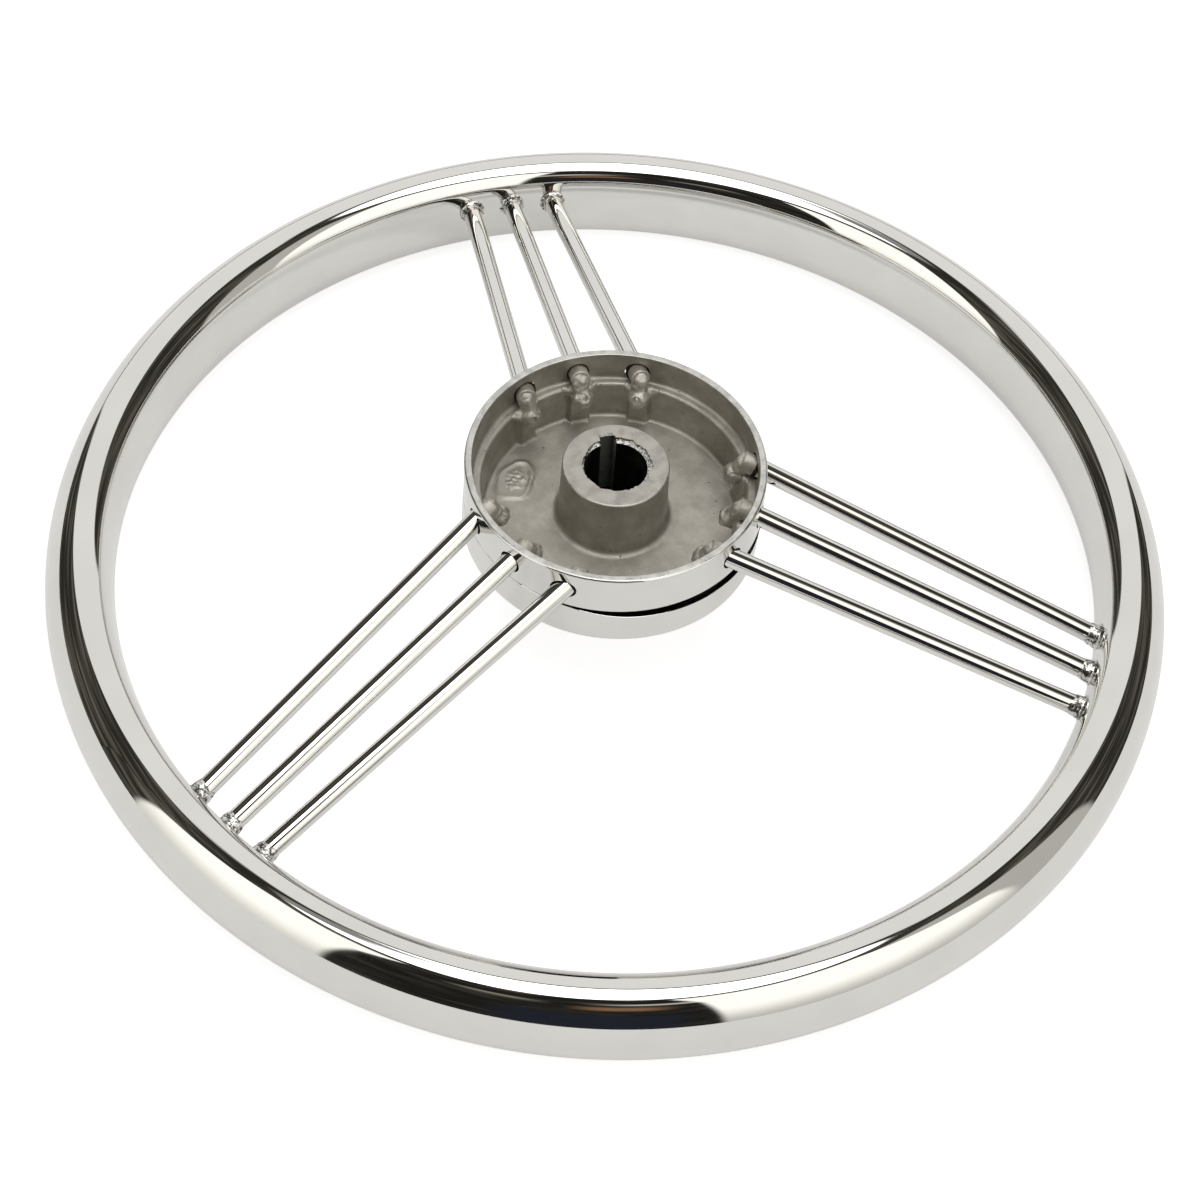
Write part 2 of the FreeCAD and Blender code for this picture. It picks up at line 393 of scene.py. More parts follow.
@dataclass(frozen=True)
class MachinedFace:
    """Face cut or filed bright, with tool marks, chatter and small dark nicks."""

    name: str
    colour: Colour = (0.60, 0.58, 0.55)
    dull_share: float = 0.78
    nick_colour: Colour = (0.14, 0.13, 0.12)
    roughness: float = 0.34
    rough_span: Span = (0.3, 0.7)
    rough_change: Span = (-0.1, 0.12)
    mark_size: float = 0.5
    mark_depth: float = 0.03
    chatter_ratio: float = 5.0
    chatter_span: Span = (0.35, 0.65)
    ring_pitch: float = 0.0
    ring_depth: float = 0.006
    ring_widening: float = 10.0
    nick_share: float = 0.35
    nick_fade: float = 0.09
    metallic: float = 1.0

    def material(self) -> bpy.types.Material:
        """Build the material.

        Returns:
            The finish as a material.
        """
        material, graph = new_material(self.name)
        place = graph.add("ShaderNodeTexCoord").outputs["Object"]
        marks = graph.noise(place, self.mark_size, detail=4.0, rough=0.7)
        normal = graph.bump(marks, self.mark_depth)
        if self.ring_pitch > 0.0:
            rings = graph.add("ShaderNodeTexWave", wave_type="RINGS", rings_direction="Z",
                              Scale=1.0 / (self.ring_pitch * MM * self.ring_widening),
                              Distortion=1.5, Detail=2.0)
            graph.put(rings, "Vector", place)
            normal = graph.bump(rings.outputs["Fac"], self.ring_depth, normal)
        chatter = graph.noise(place, self.mark_size * self.chatter_ratio, detail=3.0, rough=0.6)
        nicks = graph.ramp(marks, self.nick_share, self.nick_share + self.nick_fade)
        dull = tuple(self.dull_share * share for share in self.colour)
        colour = graph.mix(graph.ramp(chatter, *self.chatter_span), dull, self.colour)
        colour = graph.mix(nicks, self.nick_colour, colour)
        smoother, rougher = (self.roughness + change for change in self.rough_change)
        roughness = graph.ramp(chatter, *self.rough_span, smoother, rougher)
        finish_metal(graph, colour, roughness, normal, self.metallic)
        return material


@dataclass(frozen=True)
class BrightWeld:
    """Weld metal buffed with the rod: shiny, rippled and pitted."""

    name: str
    colour: Colour = (0.70, 0.69, 0.67)
    soot: Colour = (0.10, 0.094, 0.084)
    soot_size: float = 1.3
    soot_span: Span = (0.40, 0.52)
    roughness: float = 0.10
    rough_span: Span = (0.3, 0.7)
    soot_roughness: float = 0.25
    ripple_size: float = 0.9
    ripple_depth: float = 0.10

    def material(self) -> bpy.types.Material:
        """Build the material.

        Returns:
            The finish as a material.
        """
        material, graph = new_material(self.name)
        place = graph.add("ShaderNodeTexCoord").outputs["Object"]
        ripples = graph.noise(place, self.ripple_size, detail=3.0, rough=0.6)
        soot = graph.noise(place, self.soot_size, detail=3.0, rough=0.6)
        normal = graph.bump(ripples, self.ripple_depth)
        colour = graph.mix(graph.ramp(soot, *self.soot_span), self.soot, self.colour)
        roughness = graph.ramp(soot, *self.rough_span, self.roughness + self.soot_roughness, self.roughness)
        finish_metal(graph, colour, roughness, normal)
        return material


@dataclass(frozen=True)
class BlackRubber:
    """Dull black rubber of a seal ring."""

    name: str
    colour: Colour = (0.018, 0.018, 0.018)
    dusty: Colour = (0.035, 0.034, 0.033)
    grain_size: float = 0.4
    grain_depth: float = 0.02
    rough_span: Span = (0.3, 0.7)
    roughness: Span = (0.55, 0.8)

    def material(self) -> bpy.types.Material:
        """Build the material.

        Returns:
            The finish as a material.
        """
        material, graph = new_material(self.name)
        place = graph.add("ShaderNodeTexCoord").outputs["Object"]
        skin = graph.noise(place, self.grain_size, detail=3.0)
        shader = graph.add("ShaderNodeBsdfPrincipled")
        graph.put(shader, "Base Color", graph.mix(skin, self.colour, self.dusty))
        graph.put(shader, "Roughness", graph.ramp(skin, *self.rough_span, *self.roughness))
        graph.put(shader, "Normal", graph.bump(skin, self.grain_depth))
        output = graph.add("ShaderNodeOutputMaterial")
        graph.put(output, "Surface", shader.outputs[0])
        return material


@dataclass
class Finishes:
    """One material of each finish, shared by the pieces."""

    tube: bpy.types.Material = field(init=False)
    rod: bpy.types.Material = field(init=False)
    sheet: bpy.types.Material = field(init=False)
    blasted: bpy.types.Material = field(init=False)
    blasted_weld: bpy.types.Material = field(init=False)
    hole_shade: bpy.types.Material = field(init=False)
    filed_edge: bpy.types.Material = field(init=False)
    turned: bpy.types.Material = field(init=False)
    bore_shade: bpy.types.Material = field(init=False)
    burred: bpy.types.Material = field(init=False)
    keyway_shade: bpy.types.Material = field(init=False)
    spigot: bpy.types.Material = field(init=False)
    bright_weld: bpy.types.Material = field(init=False)
    rubber: bpy.types.Material = field(init=False)

    def __post_init__(self) -> None:
        """Build every material."""
        self.tube = MirrorPolish("polished_tube").material()
        self.rod = MirrorPolish("polished_rod", wave_size=9.0, wave_depth=0.004).material()
        self.sheet = MirrorPolish("polished_sheet", roughness=0.05, wave_size=20.0).material()
        self.blasted = BlastedCasting("blasted_casting").material()
        self.blasted_weld = BlastedCasting("blasted_weld", colour=(0.64, 0.61, 0.55),
                                           dark=(0.44, 0.415, 0.365), metallic=0.75, roughness=0.52,
                                           grain_size=0.9, grain_depth=0.16).material()
        # Near black painted shade of the gaps round the rods, on the holes' walls and the rings inside
        # them.
        self.hole_shade = BlastedCasting("painted_shade_hole", colour=(0.035, 0.032, 0.028), dark=(0.015, 0.014, 0.012),
                                    roughness=0.7).material()
        self.filed_edge = MachinedFace("filed_edge", colour=(0.66, 0.65, 0.62), mark_size=0.6,
                                       mark_depth=0.02, nick_share=0.27).material()
        self.turned = MachinedFace("turned_boss", colour=(0.48, 0.455, 0.42), ring_pitch=0.45,
                                   mark_size=0.9, nick_share=0.24).material()
        # Near black: painted shade deep in the shaft's bore, over its machined face.
        self.bore_shade = MachinedFace("painted_shade_bore", colour=(0.045, 0.044, 0.040), roughness=0.5,
                                  mark_size=0.7, nick_share=0.3).material()
        self.burred = MachinedFace("burred_lip", colour=(0.66, 0.64, 0.60), roughness=0.3,
                                   mark_size=0.55, mark_depth=0.12, nick_share=0.42).material()
        # Dark grey and not metallic: painted shade in place of the keyway's bright steel deep in the bore.
        self.keyway_shade = MachinedFace("painted_shade_keyway", colour=(0.17, 0.175, 0.15), roughness=0.7,
                                     mark_size=0.7, mark_depth=0.06, nick_share=0.36,
                                     metallic=0.0).material()
        # Near black painted shade of the slit between cover and casting, on the spigot and the cover's lip.
        self.spigot = MachinedFace("painted_shade_gap", colour=(0.020, 0.019, 0.017), roughness=0.45,
                                   mark_size=0.8).material()
        self.bright_weld = BrightWeld("buffed_weld").material()
        self.rubber = BlackRubber("seal_rubber").material()


# Mesh tools


def polar(radius: float, angle: float, height: float) -> Vector:
    """Point at a radius and an angle in degrees about the wheel's axis, in millimetres."""
    turn = math.radians(angle)
    return Vector((radius * math.cos(turn), radius * math.sin(turn), height))


def smooth_step(value: float) -> float:
    """Smooth rise from 0 to 1 as the value goes from 0 to 1."""
    held = min(max(value, 0.0), 1.0)
    return held * held * (3.0 - 2.0 * held)


def angle_gap(first: float, second: float) -> float:
    """Signed difference of two angles in degrees, between -180 and 180."""
    return (first - second + 180.0) % 360.0 - 180.0


@dataclass
class Draft:
    """Vertices in millimetres and faces of a piece, before it becomes an object."""

    name: str
    points: list[Vector] = field(default_factory=list)
    faces: list[tuple[int, ...]] = field(default_factory=list)
    zones: list[int] = field(default_factory=list)

    def add_loft(self, rows: Sequence[Sequence[Vector]], closed_rows: bool,
                 zone_of: Optional[Callable[[int, int], int]] = None, closed_ends: bool = False) -> None:
        """Skin a list of closed loops that have the same number of points.

        Args:
            rows: the loops, in order.
            closed_rows: whether the last loop joins the first.
            zone_of: finish of the face at a row and a point number of the loops.
            closed_ends: whether the first and last loop are filled.
        """
        start = len(self.points)
        count = len(rows[0])
        for row in rows:
            self.points.extend(row)
        strips = len(rows) if closed_rows else len(rows) - 1
        for row in range(strips):
            here = start + row * count
            there = start + (row + 1) % len(rows) * count
            for column in range(count):
                nearby = (column + 1) % count
                self.faces.append((here + column, here + nearby, there + nearby, there + column))
                self.zones.append(zone_of(row, column) if zone_of else 0)
        if closed_ends:
            for first in (start, start + (len(rows) - 1) * count):
                self.faces.append(tuple(range(first, first + count)))
                self.zones.append(0)

    def make(self, materials: Sequence[bpy.types.Material], crease: float = 35.0) -> bpy.types.Object:
        """Make the object, with smooth shading up to a crease angle.

        Args:
            materials: materials in the order of the zones.
            crease: angle in degrees above which an edge stays sharp.

        Returns:
            The new object.
        """
        mesh = bpy.data.meshes.new(self.name)
        mesh.from_pydata([tuple(MM * point) for point in self.points], [], self.faces)
        for material in materials:
            mesh.materials.append(material)
        mesh.polygons.foreach_set("material_index", self.zones)
        piece = bpy.data.objects.new(self.name, mesh)
        bpy.context.scene.collection.objects.link(piece)
        mend_normals(piece, crease)
        return piece


def mend_normals(piece: bpy.types.Object, crease: float) -> None:
    """Turn all faces outwards and shade them smooth up to a crease angle.

    Args:
        piece: the object to mend.
        crease: angle in degrees above which an edge stays sharp.
    """
    work = bmesh.new()
    work.from_mesh(piece.data)
    bmesh.ops.recalc_face_normals(work, faces=work.faces)
    work.to_mesh(piece.data)
    work.free()
    piece.data.polygons.foreach_set("use_smooth", [True] * len(piece.data.polygons))
    piece.data.set_sharp_from_angle(angle=math.radians(crease))


def apply_modifiers(piece: bpy.types.Object) -> None:
    """Replace an object's mesh with the result of its modifiers.

    Args:
        piece: the object to change.
    """
    bpy.context.view_layer.update()
    graph = bpy.context.evaluated_depsgraph_get()
    result = bpy.data.meshes.new_from_object(piece.evaluated_get(graph))
    piece.modifiers.clear()
    piece.data = result


def stand_for(piece: bpy.types.Object, node: str, slot: Slot) -> None:
    """Let a piece replace a solid of the frame.

    Args:
        piece: the dressed piece.
        node: the solid's name.
        slot: the record's material slot; not used.
    """
    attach(piece, Body.ROOT.value)
    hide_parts(node)
    LOG.info("%s stands for %s, %d faces", piece.name, node, len(piece.data.polygons))


def frame_about(direction: Vector) -> tuple[Vector, Vector]:
    """Two unit vectors square to a direction and to each other."""
    side = direction.cross(Vector((0.0, 0.0, 1.0))).normalized()
    return side, side.cross(direction).normalized()


@dataclass(frozen=True)
class Corner:
    """Corner of a turned profile, with its rounding.

    Zone and step belong to the run that follows it: its finish, and the widest spacing of its samples.
    """

    radius: float
    height: float
    rounding: float = 0.0
    zone: int = 0
    step: float = 50.0


def turned_profile(corners: Sequence[Corner], arc_step: float) -> list[tuple[float, float, int]]:
    """Sample a closed profile of straight runs and rounded corners.

    Args:
        corners: the corners in order.
        arc_step: angle in degrees between samples on a rounding.

    Returns:
        Radius, height and finish of each sample.
    """
    samples: list[tuple[float, float, int]] = []
    count = len(corners)
    ends: list[tuple[Vector, Vector]] = []
    arcs: list[list[Vector]] = []
    for index, corner in enumerate(corners):
        at = Vector((corner.radius, corner.height))
        before, after = corners[index - 1], corners[(index + 1) % count]
        back = (Vector((before.radius, before.height)) - at).normalized()
        ahead = (Vector((after.radius, after.height)) - at).normalized()
        if corner.rounding == 0.0:
            ends.append((at, at))
            arcs.append([at])
            continue
        half = back.angle(ahead) / 2.0
        reach = corner.rounding / math.tan(half)
        centre = at + (back + ahead).normalized() * (corner.rounding / math.sin(half))
        first, last = at + back * reach, at + ahead * reach
        sweep = math.pi - 2.0 * half
        steps = max(3, math.ceil(math.degrees(sweep) / arc_step))
        from_centre = first - centre
        sign = 1.0 if from_centre.cross(last - centre) > 0.0 else -1.0
        arcs.append([centre + Matrix.Rotation(sign * sweep * k / steps, 2) @ from_centre
                     for k in range(steps + 1)])
        ends.append((first, last))
    for index, corner in enumerate(corners):
        zone_before = corners[index - 1].zone
        arc = arcs[index]
        for number, point in enumerate(arc):
            zone = corner.zone if number >= len(arc) // 2 else zone_before
            samples.append((point.x, point.y, zone))
        run_start, run_end = ends[index][1], ends[(index + 1) % count][0]
        pieces = max(1, math.ceil((run_end - run_start).length / corner.step))
        for number in range(1, pieces):
            point = run_start.lerp(run_end, number / pieces)
            samples.append((point.x, point.y, corner.zone))
    return samples


# Sub-assemblies


@dataclass
class Rim:
    """Rolled tube of the rim, flat towards the hub and full on the outside."""

    radius: float = 171.5
    half_height: float = 15.2
    outer_share: float = 1.118
    shoulder_share: float = 0.526
    inner_share: float = 1.868
    ring_steps: int = 540
    curve_steps: tuple[int, int, int, int] = (26, 26, 12, 18)
    wave_height: float = 0.035
    wave_length: float = 34.0
    polish_loss: float = 0.12

    @property
    def outer_curve(self) -> float:
        """Radius of the section's outer curve."""
        return self.outer_share * self.half_height

    @property
    def shoulder_curve(self) -> float:
        """Radius of the section's two shoulders."""
        return self.shoulder_share * self.half_height

    @property
    def inner_curve(self) -> float:
        """Radius of the section's nearly flat inner side."""
        return self.inner_share * self.half_height

    def curve_centres(self) -> tuple[float, float, float, float, float]:
        """Centres of the section's three curves, and the angles where they meet.

        Returns:
            Radii of the outer, shoulder and inner centres, and the two angles in degrees.
        """
        rise = self.half_height - self.shoulder_curve
        outer_end = math.degrees(math.asin(rise / (self.outer_curve - self.shoulder_curve)))
        inner_start = 180.0 - math.degrees(math.asin(rise / (self.inner_curve - self.shoulder_curve)))
        outer = self.radius - self.outer_curve
        shoulder = outer + rise / math.tan(math.radians(outer_end))
        inner = shoulder - rise / math.tan(math.radians(inner_start))
        return outer, shoulder, inner, outer_end, inner_start

    def section(self) -> Section:
        """Outline of the tube.

        Returns:
            Radius and height above the table of each sample.
        """
        outer, shoulder, inner, outer_end, inner_start = self.curve_centres()
        rise = self.half_height - self.shoulder_curve
        arcs = ((outer, 0.0, self.outer_curve, -outer_end, outer_end),
                (shoulder, rise, self.shoulder_curve, outer_end, inner_start),
                (inner, 0.0, self.inner_curve, inner_start, 360.0 - inner_start),
                (shoulder, -rise, self.shoulder_curve, 360.0 - inner_start, 360.0 - outer_end))
        outline: Section = []
        for (centre, height, curve, start, end), steps in zip(arcs, self.curve_steps):
            for step in range(steps):
                turn = math.radians(start + (end - start) * step / steps)
                outline.append((centre + curve * math.cos(turn),
                                self.half_height + height + curve * math.sin(turn)))
        return outline

    def wall_distance(self, point: Vector) -> float:
        """Distance of a point inside the wheel from the rim's inner wall.

        Args:
            point: the point in millimetres.

        Returns:
            The distance, below 0 within the tube.
        """
        centre = self.curve_centres()[2]
        radius = math.hypot(point.x, point.y)
        side = math.copysign(1.0, centre - radius)
        return math.hypot(radius - centre, point.z - self.half_height) * side - self.inner_curve

    def build(self, finishes: Finishes) -> None:
        """Build and dress the rim.

        Args:
            finishes: the shared materials.
        """
        outline = self.section()
        centre = sum(radius for radius, _ in outline) / len(outline)
        rows = []
        for step in range(self.ring_steps):
            angle = 360.0 * step / self.ring_steps
            row = []
            for radius, height in outline:
                at = polar(radius, angle, height)
                wave = noise.noise(at / self.wave_length) * self.wave_height - self.polish_loss
                outward = Vector((radius - centre, height - self.half_height)).normalized()
                row.append(polar(radius + outward.x * wave, angle, height + outward.y * wave))
            rows.append(row)
        draft = Draft("rim_tube")
        draft.add_loft(rows, closed_rows=True)
        lowest = min(point.z for point in draft.points)
        for point in draft.points:
            point.z -= lowest * max(0.0, 1.0 - point.z / self.half_height)
        stand_for(draft.make([finishes.tube]), "rim", Slot.POLISHED_TUBE)


@dataclass(frozen=True)
class Axis:
    """Centre line of one spoke rod."""

    name: str
    at_hub: Vector
    at_rim: Vector

    @property
    def direction(self) -> Vector:
        """Unit vector from the hub to the rim."""
        return (self.at_rim - self.at_hub).normalized()


@dataclass
class SpokeLayout:
    """Where the nine rods run."""

    hub_radius: float = 45.0
    hub_depth: float = 7.5
    above_rim_centre: float = 4.0
    hub_spread: float = 23.2
    rim_spread: float = 5.25
    groups: tuple[str, ...] = ("top", "left", "right")
    hub_angles: tuple[float, ...] = (91.7, 213.6, 329.6)
    rim_angles: tuple[float, ...] = (89.1, 210.7, 330.5)
    rods: tuple[str, ...] = ("a", "b", "c")

    def axes(self, rim: Rim, hub_top: float) -> list[Axis]:
        """Centre lines of all rods.

        Args:
            rim: the rim that they reach.
            hub_top: height of the hub's back edge.

        Returns:
            The centre lines, group by group.
        """
        wall = rim.curve_centres()[2] - math.sqrt(rim.inner_curve ** 2 - self.above_rim_centre ** 2)
        height = rim.half_height + self.above_rim_centre
        lines = []
        hole = hub_top - self.hub_depth
        for group, hub_angle, rim_angle in zip(self.groups, self.hub_angles, self.rim_angles):
            for place, rod in enumerate(self.rods, -1):
                at_hub = polar(self.hub_radius, hub_angle - place * self.hub_spread, hole)
                at_rim = polar(wall, rim_angle - place * self.rim_spread, height)
                lines.append(Axis(f"{group}_{rod}", at_hub, at_rim))
        return lines


@dataclass
class SpokeRods:
    """Nine polished rods with their buffed weld collars at the rim."""

    layout: SpokeLayout
    rim: Rim
    hub_top: float
    rod_radius: float = 3.0
    inner_reach: float = 7.3
    end_chamfer: float = 0.3
    root_gap: float = 0.25
    search_reach: float = 12.0
    search_rounds: int = 32
    round_steps: int = 64
    length_steps: int = 24
    collar_steps: int = 18
    collar_inset: float = 0.2
    collar_inset_gap: float = 0.05
    collar_skin: float = 0.04
    collar_swell: float = 0.42
    collar_flare: float = 0.75
    collar_flare_share: float = 0.07
    collar_length: float = 3.7
    collar_length_change: float = 0.3
    collar_place_scale: float = 0.7
    collar_slow_scale: float = 1.5
    collar_quick_scale: float = 3.5
    collar_lump: float = 0.36
    collar_lump_size: float = 1.25
    collar_lump_start: float = 0.15
    collar_gap: float = -0.08
    collar_crease: float = 60.0
    blasted_end: float = 4.2
    plug_radius: float = 3.5
    plug_span: Span = (4.6, 5.2)
    plug_slope: float = 0.3

    def build(self, finishes: Finishes) -> None:
        """Build and dress the rods and their collars.

        Args:
            finishes: the shared materials.
        """
        for axis in self.layout.axes(self.rim, self.hub_top):
            self.build_rod(axis, finishes)
            self.build_collar(axis, finishes)

    def rail_end(self, axis: Axis, offset: Vector, gap: float) -> Vector:
        """Where a line beside the rod's axis meets the rim's wall.

        Args:
            axis: the rod's centre line.
            offset: sideways shift of the line from it.
            gap: distance from the wall where the line ends.

        Returns:
            The end point.
        """
        low, high = -self.search_reach, self.search_reach
        for _ in range(self.search_rounds):
            middle = (low + high) / 2.0
            point = axis.at_rim + offset + axis.direction * middle
            if self.rim.wall_distance(point) > gap:
                low = middle
            else:
                high = middle
        return axis.at_rim + offset + axis.direction * low

    def ring(self, axis: Axis, radius: float) -> list[Vector]:
        """Sideways shifts of a circle round a rod's axis."""
        side, up = frame_about(axis.direction)
        return [side * (radius * math.cos(turn)) + up * (radius * math.sin(turn))
                for turn in (2.0 * math.pi * k / self.round_steps for k in range(self.round_steps))]

    def build_rod(self, axis: Axis, finishes: Finishes) -> None:
        """Build one rod, coped to the rim's wall.

        Args:
            axis: its centre line.
            finishes: the shared materials.
        """
        start = axis.at_hub - axis.direction * self.inner_reach
        offsets = self.ring(axis, self.rod_radius)
        small = self.ring(axis, self.rod_radius - self.end_chamfer)
        plug = self.ring(axis, self.plug_radius)
        plug_start, plug_end = self.plug_span
        loops = ((0.0, small), (self.end_chamfer, offsets), (self.blasted_end, offsets),
                 (plug_start, plug), (plug_end, plug), (plug_end + self.plug_slope, offsets))
        rows = [[start + axis.direction * distance + shift for shift in loop] for distance, loop in loops]
        ends = [self.rail_end(axis, shift, self.root_gap) for shift in offsets]
        first = rows[-1]
        for step in range(1, self.length_steps + 1):
            rows.append([near.lerp(far, step / self.length_steps) for near, far in zip(first, ends)])
        draft = Draft(f"rod_{axis.name}")
        draft.add_loft(rows, closed_rows=False, closed_ends=True)
        # The rod's inner end is blasted weld; the ring where it passes the hub's wall is near black painted
        # shade of the gap.
        welded, plugged = 2 * self.round_steps, 3 * self.round_steps
        draft.zones[:welded + plugged] = [1] * welded + [2] * plugged
        draft.zones[-2] = 1
        piece = draft.make([finishes.rod, finishes.blasted_weld, finishes.hole_shade])
        stand_for(piece, f"spoke_rod_{axis.name}", Slot.POLISHED_ROD)

    def build_collar(self, axis: Axis, finishes: Finishes) -> None:
        """Build the lumpy weld collar at a rod's outer end.

        Args:
            axis: the rod's centre line.
            finishes: the shared materials.
        """
        inner = self.rod_radius - self.collar_inset
        unit = self.ring(axis, 1.0)
        rows = [[self.rail_end(axis, shift * inner, self.collar_inset_gap) for shift in unit]]
        for step in range(self.collar_steps + 1):
            share = step / self.collar_steps
            row = []
            for shift in unit:
                slow = noise.noise(axis.at_rim * self.collar_place_scale + shift * self.collar_slow_scale)
                length = self.collar_length * (1.0 + self.collar_length_change * slow)
                flare = self.collar_flare * math.exp(-share / self.collar_flare_share)
                swell = self.collar_swell * (1.0 - share ** 3) + flare
                place = axis.at_rim + shift * self.collar_quick_scale - axis.direction * length * share
                rough = noise.noise(place / self.collar_lump_size)
                swell += self.collar_lump * rough * math.sin(
                    math.pi * min(share + self.collar_lump_start, 1.0))
                radius = self.rod_radius + self.collar_skin + max(swell, 0.0)
                foot = self.rail_end(axis, shift * radius, self.collar_gap)
                row.append(foot - axis.direction * (length * share))
            rows.append(row)
        rows.append([shift * inner + axis.at_rim - axis.direction * self.collar_length for shift in unit])
        draft = Draft(f"rim_bead_{axis.name}")
        draft.add_loft(rows, closed_rows=True)
        piece = draft.make([finishes.bright_weld], crease=self.collar_crease)
        stand_for(piece, f"rim_weld_{axis.name}", Slot.WELD)


@dataclass(frozen=True)
class Swelling:
    """Oval swelling on the cup's floor: a low plateau, a ridge round it and a rough heart.

    Edges, places and widths are shares of the oval's reach, and heights are shares of its height.
    """

    angle: float = 146.0
    radius: float = 31.2
    reach: Span = (6.7, 9.8)
    height: float = 0.9
    slow_wander: float = 0.24
    slow_length: float = 6.0
    quick_wander: float = 0.05
    quick_length: float = 1.4
    facing: Span = (0.6, 0.8)
    facing_least: float = 0.05
    plateau_height: float = 0.30
    plateau_edge: float = 0.98
    plateau_soft: float = 0.30
    ridge_height: float = 0.08
    ridge_growth: float = 0.42
    ridge_place: float = 0.80
    ridge_width: float = 0.11
    heart_edge: float = 0.50
    heart_soft: float = 0.25
    heart_height: float = 0.15
    heart_lump: float = 0.5
    heart_length: float = 1.1

    def rise(self, radius: float, angle: float) -> float:
        """Height of the swelling above the cup's floor.

        Args:
            radius: distance from the wheel's axis.
            angle: angle about it in degrees.

        Returns:
            The height in millimetres.
        """
        turn = math.radians(angle_gap(angle, self.angle))
        along = (radius * math.cos(turn) - self.radius) / self.reach[0]
        across = radius * math.sin(turn) / self.reach[1]
        place = polar(radius, angle, 0.0)
        plain = math.hypot(along, across)
        slow = self.slow_wander * noise.noise(place / self.slow_length)
        quick = self.quick_wander * noise.noise(place / self.quick_length)
        away = plain + slow + quick
        towards = self.facing[0] * along + self.facing[1] * across
        facing = smooth_step(0.5 - 0.5 * towards / max(plain, self.facing_least))
        plateau = self.plateau_height * smooth_step((self.plateau_edge - away) / self.plateau_soft)
        ridge = (self.ridge_height + self.ridge_growth * facing) * math.exp(
            -((away - self.ridge_place) / self.ridge_width) ** 2)
        lumps = self.heart_height + self.heart_lump * noise.noise(place / self.heart_length)
        heart = smooth_step((self.heart_edge - away) / self.heart_soft) * lumps
        return self.height * (plateau + ridge + heart)


